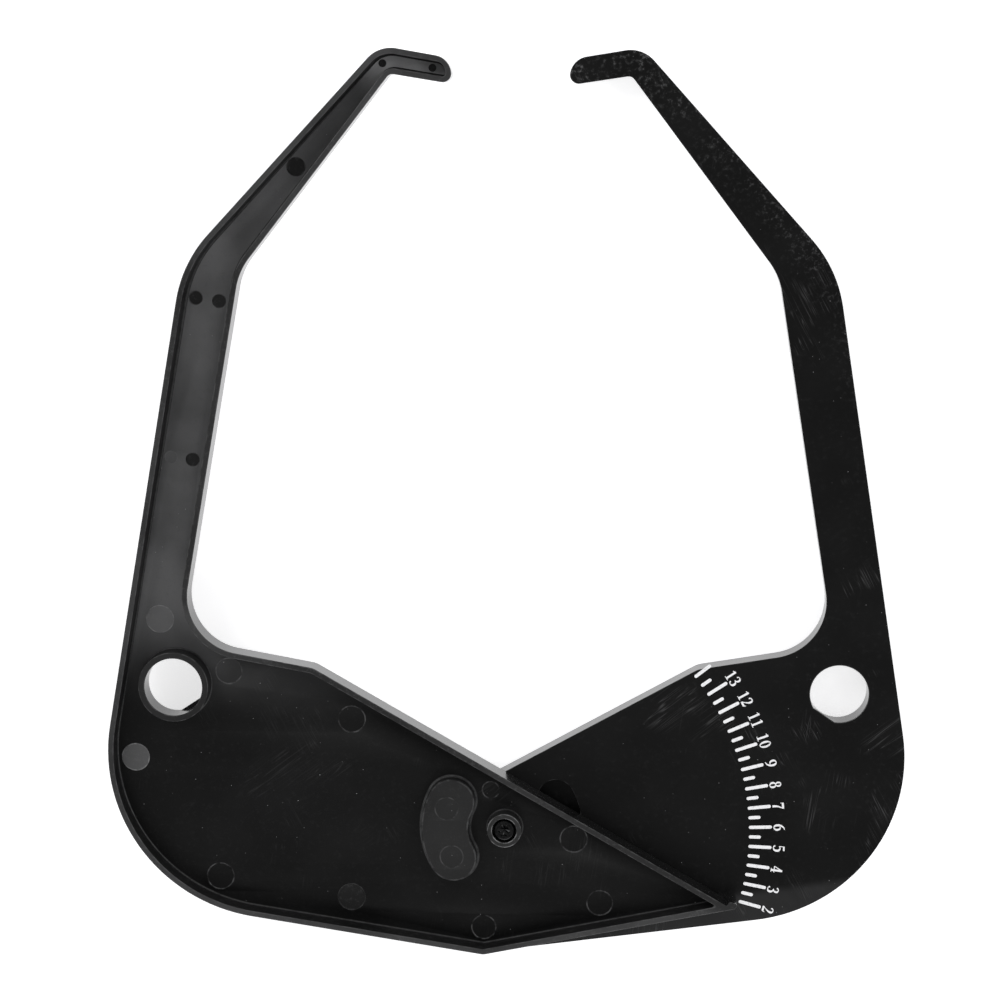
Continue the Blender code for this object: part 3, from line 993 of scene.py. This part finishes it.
    def circle_at(self, centre: Vector, radius: float = 0.0, steps: int = 72) -> Callable[[float], Points]:
        """A round shape for a sweep, whose offset adds to its radius."""
        return lambda offset: circle(radius + offset, centre, steps)

    def rise_from(self, level: float, top: float, fillet: float, radius: float,
                  draft: float) -> list[Station]:
        """Profile of a boss, from the face round it to its flat top.

        Args:
            level: Height of the face that it stands on.
            top: Height of its top.
            fillet: Radius at its base.
            radius: Radius at its top edge.
            draft: How far its wall leans in.

        Returns:
            The stations, with offsets from its own line.
        """
        up = 1 if top > level else -1
        band = self.support
        foot = list(reversed(bend(0.0, level, fillet, 1, -up, -1.0)))
        crest = bend(-draft, top, radius, -1, up)
        return [Station(fillet + band, level), *foot, Station(0.0, foot[-1].height + up * band),
                Station(-draft, crest[0].height - up * band), *crest, Station(-draft - radius - band, top)]

    def grow_hole(self, shell: LoopMesh) -> tuple[Loop, Loop]:
        """The hanging hole in its raised boss, with the gate's thin web across one side.

        Args:
            shell: The mesh that grows.

        Returns:
            The loops on the tray's floor and on the smooth face.
        """
        centre, radius, band = self.hole_centre(), self.hole_radius, self.support
        rounding = self.rib_radius
        steps = round(360.0 / self.hole_step)
        open_steps = round((360.0 - self.web_end + self.web_start) / self.hole_step)
        middle = (self.web_start + self.web_end) / 2.0
        half = (self.web_end - self.web_start) / 2.0

        def ring(offset: float) -> Points:
            """The hole's whole circle."""
            return arc(radius + offset, self.web_end, self.web_end + 360.0, steps, centre)[:-1]

        def dee(offset: float) -> Points:
            """The hole's circle, cut straight along the web.

            Args:
                offset: Added to its radius.

            Returns:
                The points.
            """
            share = (radius * math.cos(math.radians(half)) + offset) / (radius + offset)
            reach = math.degrees(math.acos(share))
            curve = arc(radius + offset, middle + reach, middle - reach + 360.0, open_steps, centre)
            return curve + [curve[-1].lerp(curve[0], i / 6.0) for i in range(1, 6)]

        top = self.boss_drop - self.depth
        rise = self.rise_from(-self.plate, top, self.fillet, rounding, self.draft)
        outer = [Station(s.offset + self.boss_wall, s.height, s.edge) for s in rise]
        base, lower = shell.sweep(ring, outer[:-CREST], Skin.WALL)
        inner = [Station(rounding + band, top), *reversed(bend(0.0, top, rounding, 1, -1))]
        _, lower = shell.sweep(ring, [*outer[-CREST:], *inner], Skin.PAD, lower)
        _, lower = shell.sweep(ring, [Station(0.0, top + rounding + band)], Skin.SIDE, lower)
        edge = self.edge_radius
        face = [Station(edge + band, 0.0), *reversed(bend(0.0, 0.0, edge, 1, 1)), Station(0.0, -self.web)]
        face_edge, ledge = shell.sweep(dee, face, Skin.SIDE)
        web_arc = shell.loop(ring(0.0)[open_steps + 1:], -self.web)
        shell.band(lower, ledge[:open_steps + 1] + web_arc, Skin.SIDE)
        shell.cap(ledge[open_steps:] + ledge[:1] + list(reversed(web_arc)), [], Skin.TRAY)
        return base, face_edge

    def grow_pivot(self, shell: LoopMesh) -> tuple[Loop, Loop]:
        """The pivot boss with its counterbore and bore.

        Args:
            shell: The mesh that grows.

        Returns:
            The loops on the tray's floor and on the smooth face.
        """
        shape = self.circle_at(Vector((0.0, 0.0)))
        top, rounding, band = -self.pivot_height, self.pivot_rounding, self.support
        seat = top + self.counterbore_depth
        rise = self.rise_from(-self.plate, top, self.fillet, rounding, self.draft)
        outer = [Station(s.offset + self.pivot_radius, s.height, s.edge) for s in rise]
        base, lower = shell.sweep(shape, outer[:-CREST], Skin.WALL)
        inner = [Station(self.counterbore_radius + rounding + band, top),
                 *reversed(bend(self.counterbore_radius, top, rounding, 1, -1))]
        _, lower = shell.sweep(shape, [*outer[-CREST:], *inner], Skin.HUB, lower)
        # The counterbore and the bore are painted dark: painted shade in the recess.
        deep = [Station(self.counterbore_radius, top + rounding + band),
                Station(self.counterbore_radius, seat),
                Station(self.bore_radius, seat), Station(self.bore_radius, -rounding - band),
                *bend(self.bore_radius, 0.0, rounding, 1, 1),
                Station(self.bore_radius + rounding + band, 0.0)]
        return base, shell.sweep(shape, deep, Skin.DARK_MARK, lower)[1]

    def grow_kidney(self, shell: LoopMesh) -> Loop:
        """The pad behind the arc groove, with its two ejector marks.

        Args:
            shell: The mesh that grows.

        Returns:
            The loop on the tray's floor.
        """
        top = -self.groove_depth - self.kidney_wall
        profile = self.rise_from(-self.plate, top, 0.0009, 0.0007, self.draft)
        base, crest = shell.sweep(self.kidney.ring, profile, Skin.PAD)
        shell.cap(crest, [self.grow_mark(shell, mark, top, Skin.PAD) for mark in KIDNEY_MARKS], Skin.PAD)
        return base

    def grow_groove(self, shell: LoopMesh) -> Loop:
        """The arc groove in the smooth face.

        Args:
            shell: The mesh that it joins.

        Returns:
            The groove's loop on that face.
        """
        edge, band, foot, floor = self.edge_radius, self.support, 0.0006, -self.groove_depth
        profile = [Station(edge + band, 0.0), *reversed(bend(0.0, 0.0, edge, 1, 1)),
                   Station(0.0, -edge - band),
                   Station(0.0, floor + foot + band), *bend(0.0, floor, foot, -1, -1, -1.0),
                   Station(-foot - band, floor)]
        top, bottom = shell.sweep(self.groove.ring, profile, Skin.FACE)
        shell.cap(bottom, [], Skin.FACE)
        return top

    def grow_peg(self, shell: LoopMesh) -> Loop:
        """The stop peg on the smooth face.

        Args:
            shell: The mesh that it joins.

        Returns:
            The peg's loop on that face.
        """
        centre = on_circle(self.groove.radius, 180.0 - self.groove.start)
        profile = self.rise_from(0.0, self.peg_height, self.fillet / 2.0, self.rib_radius, self.draft)
        base, top = shell.sweep(self.circle_at(centre, self.peg_radius), profile, Skin.SIDE)
        shell.cap(top, [], Skin.SIDE)
        return base

    def grow_mark(self, shell: LoopMesh, mark: Mark, level: float, ground: Skin = Skin.TRAY) -> Loop:
        """An ejector mark on a face that looks down.

        Args:
            shell: The mesh that grows.
            mark: The mark.
            level: The face's height.
            ground: The face's surface.

        Returns:
            The mark's outermost loop.
        """
        rises = MARK_PROFILES[mark.kind]
        discs = {MarkKind.RING: ground, MarkKind.PALE: Skin.PALE_MARK, MarkKind.DARK: Skin.DARK_MARK}
        disc = discs[mark.kind]
        scale = min(1.0, mark.radius / FULL_MARK) / 1000.0
        stations = [Station(out * scale, level - rise * scale, MARK_EDGE if 0 < i < len(rises) - 1 else 0.0)
                    for i, (out, rise) in enumerate(rises)]
        shape = self.circle_at(Vector((mark.x, mark.y)), mark.radius, 48)
        base, inner = shell.sweep(shape, stations, disc)
        shell.cap(inner, [], disc)
        return base


@dataclass
class Arms:
    """The two mouldings on their pivot."""

    moulding: Moulding
    pivot: Vector

    def place(self, face: float, turned: bool) -> Matrix:
        """Where an arm goes, from its smooth face's height and whether it is turned over."""
        turn = Matrix.Rotation(math.pi if turned else 0.0, 4, "Y")
        return Matrix.Translation((self.pivot.x, self.pivot.y, face)) @ turn

    def build(self, materials: dict[Skin, bpy.types.Material]) -> None:
        """Build, dress and hang both arms.

        Args:
            materials: A material for each skin.
        """
        depth = self.moulding.depth
        lower_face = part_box("right_arm")[0].z + depth
        upper_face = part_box("left_arm")[1].z - depth
        for node, body, face in (("right_arm", "lower", lower_face), ("left_arm", "upper", upper_face)):
            name = f"{node}_moulding"
            arm = new_piece(name, self.moulding.build(name, self.place(face, body == "upper")))
            for skin in Skin:
                arm.data.materials.append(materials[skin])
            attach(arm, body)
            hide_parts(node)
            LOG.info("%s: %d faces", name, len(arm.data.polygons))


class Stroke(NamedTuple):
    """A pen stroke of a numeral: (x, y, half width) points on a box one unit tall."""

    points: tuple[tuple[float, float, float], ...]
    straight: bool = False
    closed: bool = False

    def path(self) -> list[Vector]:
        """A smooth line through the stroke's points.

        Returns:
            Points along its middle, each with its half width as a third number.
        """
        knots = [Vector(p) for p in self.points]
        if self.straight:
            return knots
        count = len(knots)
        spans = count if self.closed else count - 1
        path = []
        for i in range(spans):
            if self.closed:
                a, b, c, d = (knots[(i + k) % count] for k in (-1, 0, 1, 2))
            else:
                a, b, c, d = (knots[min(max(i + k, 0), count - 1)] for k in (-1, 0, 1, 2))
            for j in range(5):
                t = j / 5.0
                path.append((b * 2.0 + (c - a) * t + (a * 2.0 - b * 5.0 + c * 4.0 - d) * t ** 2
                             + (b * 3.0 - a - c * 3.0 + d) * t ** 3) / 2.0)
        return path if self.closed else path + [knots[-1]]


def oval(x: float, y: float, wide: float, tall: float, thin: float, thick: float) -> Stroke:
    """A closed oval stroke, thick at its sides.

    Args:
        x: Its centre.
        y: Its centre.
        wide: Half its width, to the stroke's middle line.
        tall: Half its height.
        thin: Half the stroke's width at top and bottom.
        thick: The same at the sides.

    Returns:
        The stroke.
    """
    angles = [math.radians(30.0 * i) for i in range(12)]
    points = ((x + wide * math.cos(a), y + tall * math.sin(a), thin + (thick - thin) * math.cos(a) ** 2)
              for a in angles)
    return Stroke(tuple(points), closed=True)


SIX = (
    Stroke(((0.52, 0.93, 0.03), (0.34, 0.87, 0.045), (0.18, 0.68, 0.07), (0.11, 0.42, 0.09),
            (0.15, 0.16, 0.08), (0.31, 0.035, 0.035), (0.46, 0.14, 0.07), (0.51, 0.31, 0.085),
            (0.45, 0.50, 0.07), (0.32, 0.58, 0.035), (0.18, 0.51, 0.03))),
)
GLYPHS = {
    "0": (oval(0.30, 0.50, 0.20, 0.455, 0.035, 0.085),),
    "1": (Stroke(((0.33, 0.03, 0.085), (0.33, 0.98, 0.085)), straight=True),
          Stroke(((0.12, 0.028, 0.028), (0.54, 0.028, 0.028)), straight=True),
          Stroke(((0.33, 0.94, 0.04), (0.12, 0.84, 0.03)), straight=True)),
    "2": (Stroke(((0.10, 0.76, 0.06), (0.13, 0.88, 0.045), (0.28, 0.96, 0.035), (0.43, 0.89, 0.07),
                  (0.46, 0.72, 0.085), (0.39, 0.52, 0.06), (0.22, 0.26, 0.035), (0.08, 0.09, 0.03))),
          Stroke(((0.06, 0.085, 0.08), (0.50, 0.085, 0.085)), straight=True),
          Stroke(((0.50, 0.10, 0.05), (0.56, 0.27, 0.02)), straight=True)),
    "3": (Stroke(((0.10, 0.80, 0.06), (0.15, 0.92, 0.04), (0.29, 0.965, 0.035), (0.43, 0.88, 0.075),
                  (0.44, 0.70, 0.08), (0.34, 0.57, 0.04), (0.20, 0.53, 0.03))),
          Stroke(((0.20, 0.53, 0.03), (0.38, 0.49, 0.05), (0.49, 0.32, 0.09), (0.45, 0.12, 0.08),
                  (0.28, 0.035, 0.035), (0.13, 0.08, 0.045), (0.08, 0.20, 0.065)))),
    "4": (Stroke(((0.40, 0.97, 0.04), (0.06, 0.31, 0.035)), straight=True),
          Stroke(((0.04, 0.29, 0.04), (0.58, 0.29, 0.04)), straight=True),
          Stroke(((0.40, 0.03, 0.085), (0.40, 0.99, 0.085)), straight=True),
          Stroke(((0.24, 0.028, 0.028), (0.57, 0.028, 0.028)), straight=True)),
    "5": (Stroke(((0.12, 0.915, 0.075), (0.50, 0.925, 0.065)), straight=True),
          Stroke(((0.14, 0.94, 0.03), (0.11, 0.52, 0.03)), straight=True),
          Stroke(((0.11, 0.53, 0.03), (0.28, 0.61, 0.045), (0.46, 0.50, 0.085), (0.50, 0.29, 0.09),
                  (0.42, 0.10, 0.07), (0.26, 0.035, 0.035), (0.12, 0.08, 0.045), (0.08, 0.19, 0.065)))),
    "6": SIX,
    "7": (Stroke(((0.05, 0.90, 0.085), (0.55, 0.90, 0.085)), straight=True),
          Stroke(((0.07, 0.95, 0.03), (0.05, 0.70, 0.02)), straight=True),
          Stroke(((0.54, 0.90, 0.03), (0.40, 0.64, 0.05), (0.30, 0.36, 0.08), (0.28, 0.02, 0.10)))),
    "8": (oval(0.30, 0.745, 0.155, 0.215, 0.035, 0.075), oval(0.30, 0.275, 0.19, 0.245, 0.035, 0.085)),
    "9": tuple(Stroke(tuple((0.62 - x, 1.0 - y, w) for x, y, w in s.points)) for s in SIX),
}


@dataclass
class Scale:
    """The printed inch scale on the lower arm's smooth face. Sizes in metres, readings in inches."""

    pivot: Vector
    shift: Vector                       # from the pivot to the centre that the print was laid out about
    first: float = 2.0
    step: float = 0.5
    count: int = 25
    law_radius: float = 13.607          # of the chord law, in inches about the print's own centre
    zero_degrees: float = -23.22        # where a reading of nothing would stand
    inner: float = 0.1171
    short: float = 0.0054
    long: float = 0.0104
    clipped: float = 0.0091             # the last tick, cut short by the edge
    width: float = 0.0015
    ink: float = 0.00006
    numeral_radius: float = 0.1308
    numeral_height: float = 0.0053
    digit_pitch: float = 0.0035
    single_shift: float = -0.00025      # along the arc, counter-clockwise
    double_shift: float = 0.0003
    last_numeral: int = 13

    def tree(self) -> bpy.types.NodeTree:
        """The node tree that sets the ticks by the caliper's chord law.

        Returns:
            The tree.
        """
        length = {"Inner Radius": self.inner, "Short": self.short, "Long": self.long, "Clipped": self.clipped,
                  "Width": self.width, "Thickness": self.ink, "First": self.first, "Step": self.step,
                  "Law Radius": self.law_radius, "Zero Angle": math.radians(self.zero_degrees)}
        inputs = {"Count": ("NodeSocketInt", self.count), "Centre": (VECTOR, tuple(self.pivot + self.shift)),
                  "Ink": ("NodeSocketMaterial", None), **{k: (FLOAT, v) for k, v in length.items()}}
        graph, given, result = new_group("scale_ticks", "GeometryNodeTree", inputs,
                                         {"Geometry": "NodeSocketGeometry"})
        value = given.outputs
        points = graph.add("GeometryNodeMeshLine", {"Count": value["Count"], "Offset": (0.0, 0.0, 0.0)})
        index = graph.add("GeometryNodeInputIndex").outputs[0]
        reading = graph.math("MULTIPLY_ADD", index, value["Step"], value["First"])
        chord = graph.math("DIVIDE", reading, graph.math("MULTIPLY", value["Law Radius"], 2.0))
        half = graph.math("ARCSINE", chord)
        angle = graph.math("MULTIPLY_ADD", half, 2.0, value["Zero Angle"])
        turn = graph.add("FunctionNodeEulerToRotation", {
            0: graph.add("ShaderNodeCombineXYZ", {"Z": angle}).outputs[0]}).outputs[0]
        odd = graph.math("MODULO", index, 2.0)
        last = graph.math("COMPARE", index, graph.math("SUBTRACT", value["Count"], 1.0), 0.1)
        long = graph.math("MULTIPLY", graph.math("SUBTRACT", 1.0, odd), graph.math("SUBTRACT", 1.0, last))
        join = graph.add("GeometryNodeJoinGeometry")
        for label, chosen in (("Short", odd), ("Long", long), ("Clipped", last)):
            ticks = graph.add("GeometryNodeInstanceOnPoints", {
                "Points": points.outputs[0], "Selection": chosen,
                "Instance": self.bar(graph, value, value[label]), "Rotation": turn})
            graph.tree.links.new(ticks.outputs[0], join.inputs[0])
        real = graph.add("GeometryNodeRealizeInstances", {0: join.outputs[0]})
        moved = graph.add("GeometryNodeTransform", {0: real.outputs[0], "Translation": value["Centre"]})
        inked = graph.add("GeometryNodeSetMaterial", {0: moved.outputs[0], "Material": value["Ink"]})
        graph.feed(result.inputs[0], inked.outputs[0])
        return graph.tree

    @staticmethod
    def bar(graph: NodeGraph, value: bpy.types.NodeOutputs, length: Socket) -> Socket:
        """One tick along +X with round ends, a closed thin plate.

        Args:
            graph: The tree's graph.
            value: The tree's inputs.
            length: The tick's length.

        Returns:
            The tick's geometry.
        """
        box = graph.add("GeometryNodeCurvePrimitiveQuadrilateral",
                        {"Width": length, "Height": value["Width"]})
        radius = graph.math("MULTIPLY", value["Width"], 0.499)
        ends = graph.add("GeometryNodeFilletCurve", {0: box.outputs[0], "Count": 5, "Radius": radius},
                         mode="POLY")
        plate = graph.add("GeometryNodeFillCurve", {0: ends.outputs[0]}, mode="NGONS").outputs[0]
        raised = graph.add("GeometryNodeExtrudeMesh", {
            0: plate, "Offset Scale": value["Thickness"], "Individual": False}).outputs[0]
        under = graph.add("GeometryNodeFlipFaces", {0: plate}).outputs[0]
        both = graph.add("GeometryNodeJoinGeometry")
        graph.tree.links.new(raised, both.inputs[0])
        graph.tree.links.new(under, both.inputs[0])
        sealed = graph.add("GeometryNodeMergeByDistance", {0: both.outputs[0], "Distance": 0.000002})
        out = graph.math("MULTIPLY_ADD", length, 0.5, value["Inner Radius"])
        place = graph.add("ShaderNodeCombineXYZ", {"X": out}).outputs[0]
        return graph.add("GeometryNodeTransform", {0: sealed.outputs[0], "Translation": place}).outputs[0]

    def build_ticks(self, ink: bpy.types.Material) -> bpy.types.Object:
        """The ticks as one plain mesh.

        Args:
            ink: The ink's material.

        Returns:
            The piece.
        """
        ticks = new_piece("scale_ticks", bpy.data.meshes.new("scale_ticks"))
        modifier = ticks.modifiers.new("scale_ticks", "NODES")
        tree = self.tree()
        modifier.node_group = tree
        sockets = {s.name: s.identifier for s in tree.interface.items_tree if s.in_out == "INPUT"}
        modifier[sockets["Ink"]] = ink
        modifier[sockets["Count"]] = self.count
        graph = bpy.context.evaluated_depsgraph_get()
        mesh = bpy.data.meshes.new_from_object(ticks.evaluated_get(graph))
        ticks.modifiers.clear()
        ticks.data = mesh
        return ticks

    def stroke_piece(self, stroke: Stroke) -> bpy.types.Object:
        """One stroke as a thin closed prism, one unit tall in the plane.

        Args:
            stroke: The stroke.

        Returns:
            A piece for the union of a numeral.
        """
        path = stroke.path()
        count = len(path)
        sides: tuple[Points, Points] = ([], [])
        for i, point in enumerate(path):
            back = path[i - 1] if i or stroke.closed else point
            ahead = path[(i + 1) % count] if i < count - 1 or stroke.closed else point
            along = (ahead - back).xy.normalized()
            across = Vector((-along.y, along.x)) * point.z
            sides[0].append(point.xy + across)
            sides[1].append(point.xy - across)
        shell = LoopMesh()
        low = [shell.loop(side, 0.0) for side in sides]
        high = [shell.loop(side, 1.0) for side in sides]
        spans = count if stroke.closed else count - 1
        for i in range(spans):
            j = (i + 1) % count
            shell.face([high[0][i], high[1][i], high[1][j], high[0][j]], Skin.FACE)
            shell.face([low[0][i], low[0][j], low[1][j], low[1][i]], Skin.FACE)
            for k in (0, 1):
                shell.face([low[k][i], low[k][j], high[k][j], high[k][i]], Skin.FACE)
        if not stroke.closed:
            for i in (0, count - 1):
                shell.face([low[0][i], low[1][i], high[1][i], high[0][i]], Skin.FACE)
        return new_piece("stroke", shell.mesh("stroke", Matrix.Identity(4)))

    def digit_mesh(self, digit: str) -> bpy.types.Mesh:
        """One numeral, the union of its strokes.

        Args:
            digit: The numeral.

        Returns:
            Its mesh, one unit tall.
        """
        strokes = [self.stroke_piece(stroke) for stroke in GLYPHS[digit]]
        for other in strokes[1:]:
            modifier = strokes[0].modifiers.new("union", "BOOLEAN")
            modifier.operation = "UNION"
            modifier.solver = "EXACT"
            modifier.object = other
        graph = bpy.context.evaluated_depsgraph_get()
        mesh = bpy.data.meshes.new_from_object(strokes[0].evaluated_get(graph))
        for piece in strokes:
            bpy.data.objects.remove(piece, do_unlink=True)
        return mesh

    def build_numerals(self, ink: bpy.types.Material) -> bpy.types.Object:
        """All numerals as one mesh, their tops away from the pivot.

        Args:
            ink: The ink's material.

        Returns:
            The piece.
        """
        digits = {digit: self.digit_mesh(digit) for digit in GLYPHS}
        work = bmesh.new()
        for number in range(round(self.first), self.last_numeral + 1):
            text = str(number)
            angle = 2.0 * math.asin(number / (2.0 * self.law_radius)) + math.radians(self.zero_degrees)
            shift = self.single_shift if len(text) == 1 else self.double_shift
            for i, digit in enumerate(text):
                along = shift + self.digit_pitch * ((len(text) - 1) / 2.0 - i)
                turned = angle + along / self.numeral_radius
                mesh = digits[digit].copy()
                mesh.transform(Matrix.Translation(self.pivot + self.shift)
                               @ Matrix.Rotation(turned - math.pi / 2.0, 4, "Z")
                               @ Matrix.Translation((0.0, self.numeral_radius, 0.0))
                               @ Matrix.Diagonal((self.numeral_height, self.numeral_height, self.ink, 1.0))
                               @ Matrix.Translation((-0.3, -0.5, 0.0)))
                work.from_mesh(mesh)
        mesh = bpy.data.meshes.new("scale_numerals")
        work.to_mesh(mesh)
        work.free()
        mesh.materials.append(ink)
        return new_piece("scale_numerals", mesh)

    def build(self, ink: bpy.types.Material) -> None:
        """Build both parts of the scale and hang them on the lower arm.

        Args:
            ink: The ink's material.
        """
        for piece in (self.build_ticks(ink), self.build_numerals(ink)):
            piece.data.shade_flat()
            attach(piece, "lower")
            LOG.info("%s: %d faces", piece.name, len(piece.data.polygons))


class Fasteners:
    """The pivot's screw, washers, nut and locking ring, which keep their CAD shapes."""

    FINISHES = {
        "pivot_screw": FastenerFinish("black_oxide", 0.022, 0.24, 1.0),
        "wave_washer": FastenerFinish("spring_steel", 0.08, 0.40, 1.0),
        "flat_washer": FastenerFinish("zinc_plate", 0.56, 0.34, 1.0, 0.1),
        "lock_nut": FastenerFinish("bright_zinc", 0.58, 0.30, 1.0, 0.1),
        "nut_insert": FastenerFinish("natural_nylon", 0.66, 0.50, 0.0, 0.05),
    }

    def dress(self) -> None:
        """Give each fastener its finish."""
        for node, finish in self.FINISHES.items():
            piece = frame["nodes"][node]
            piece.data.materials.clear()
            piece.data.materials.append(finish.build())
            LOG.info("%s: %s", node, finish.name)


@dataclass
class Studio:
    """The floor, the soft lights, the pale surround and the camera. Sizes in metres."""

    camera_place: Vector
    camera_aim: Vector
    roll_degrees: float = 0.4633
    lens: float = 91.813
    floor_size: float = 12.0
    floor_tone: float = 0.80
    floor_glow: float = 0.62            # what the floor adds where the camera or a reflection sees it
    zenith: float = 0.40
    horizon: float = 0.95

    LAMPS = (
        ("key_softbox", (-1.5, 1.5, 1.3), 1.3, 24.0),
        ("fill_softbox", (1.7, 0.4, 1.1), 1.3, 15.0),
        ("low_softbox", (0.1, -1.8, 1.0), 1.3, 13.0),
    )

    def build(self) -> None:
        """Set up everything round the object."""
        scene = bpy.context.scene
        scene.view_settings.view_transform = "Standard"
        self.build_floor()
        self.build_world(scene)
        for name, place, size, power in self.LAMPS:
            self.build_lamp(name, Vector(place), size, power)
        self.build_camera(scene)

    def seen(self, graph: NodeGraph) -> Socket:
        """Tell what sees the floor directly.

        Args:
            graph: The floor's graph.

        Returns:
            1 for rays from the camera, a reflection or a clear body, otherwise 0.
        """
        rays = graph.add("ShaderNodeLightPath").outputs
        glossy = graph.math("MAXIMUM", rays["Is Camera Ray"], rays["Is Glossy Ray"])
        return graph.math("MAXIMUM", glossy, rays["Is Transmission Ray"])

    def build_floor(self) -> None:
        """The plain pale floor."""
        mesh = bpy.data.meshes.new("floor")
        half = self.floor_size / 2.0
        corners = [(-half, -half, 0.0), (half, -half, 0.0), (half, half, 0.0), (-half, half, 0.0)]
        mesh.from_pydata(corners, [], [(0, 1, 2, 3)])
        floor = new_piece("floor", mesh)
        material, graph, shader = new_material("floor_paper")
        shader.inputs["Base Color"].default_value = grey(self.floor_tone)
        shader.inputs["Roughness"].default_value = 0.9
        shader.inputs["Specular IOR Level"].default_value = 0.0
        shader.inputs["Emission Color"].default_value = (1.0, 1.0, 1.0, 1.0)
        glow = graph.math("MULTIPLY", self.seen(graph), self.floor_glow)
        graph.feed(shader.inputs["Emission Strength"], glow)
        mesh.materials.append(material)

    def build_world(self, scene: bpy.types.Scene) -> None:
        """A light tent, dim overhead and bright at the horizon, and white to the camera.

        Args:
            scene: The scene.
        """
        world = bpy.data.worlds.new("tent")
        scene.world = world
        world.use_nodes = True
        graph = NodeGraph(world.node_tree)
        way = graph.add("ShaderNodeTexCoord").outputs["Generated"]
        up = graph.add("ShaderNodeSeparateXYZ", {"Vector": way}).outputs["Z"]
        light = graph.ramp(up, 0.15, 0.85, self.horizon, self.zenith)
        camera = graph.add("ShaderNodeLightPath").outputs["Is Camera Ray"]
        strength = graph.math("MAXIMUM", light, camera)
        backdrop = world.node_tree.nodes["Background"]
        backdrop.inputs["Color"].default_value = (1.0, 1.0, 1.0, 1.0)
        graph.feed(backdrop.inputs["Strength"], strength)

    def build_lamp(self, name: str, place: Vector, size: float, power: float) -> None:
        """One soft square lamp that looks at the object.

        Args:
            name: The lamp's name.
            place: Where it stands.
            size: Its side.
            power: Its power in watts.
        """
        light = bpy.data.lights.new(name, "AREA")
        light.size = size
        light.energy = power
        lamp = bpy.data.objects.new(name, light)
        lamp.location = place
        lamp.rotation_mode = "QUATERNION"
        lamp.rotation_quaternion = (-place).to_track_quat("-Z", "Y")
        bpy.context.scene.collection.objects.link(lamp)

    def build_camera(self, scene: bpy.types.Scene) -> None:
        """The camera at the photograph's place, almost straight above the caliper.

        Args:
            scene: The scene.
        """
        lens = bpy.data.cameras.new("camera")
        lens.lens = self.lens
        lens.sensor_width = 36.0
        lens.clip_start, lens.clip_end = 0.05, 50.0
        camera = bpy.data.objects.new("camera", lens)
        back = (self.camera_place - self.camera_aim).normalized()
        right = Vector((0.0, 1.0, 0.0)).cross(back).normalized()
        axes = Matrix((right, back.cross(right), back)).transposed().to_4x4()
        roll = Matrix.Rotation(math.radians(self.roll_degrees), 4, "Z")
        camera.matrix_world = Matrix.Translation(self.camera_place) @ axes @ roll
        scene.collection.objects.link(camera)
        scene.camera = camera


def main() -> None:
    """Build the caliper's looks and the studio round it."""
    logging.basicConfig(level=logging.INFO, format="%(name)s: %(message)s")
    pivot = Vector(frame["joints"][0]["pos_m"])
    moulding = Moulding()
    effects = Effects()
    materials = {skin: finish.build(effects) for skin, finish in SKINS.items()}
    Arms(moulding, pivot).build(materials)
    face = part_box("right_arm")[0].z + moulding.depth
    Scale(Vector((pivot.x, pivot.y, face)), Vector((-0.00723, -0.00336, 0.0))).build(PrintedInk().build())
    Fasteners().dress()
    Studio(Vector((0.05284, 0.17473, 1.13049)), Vector((-0.003327, 0.004131, 0.01215))).build()


if __name__ == "__main__":
    main()
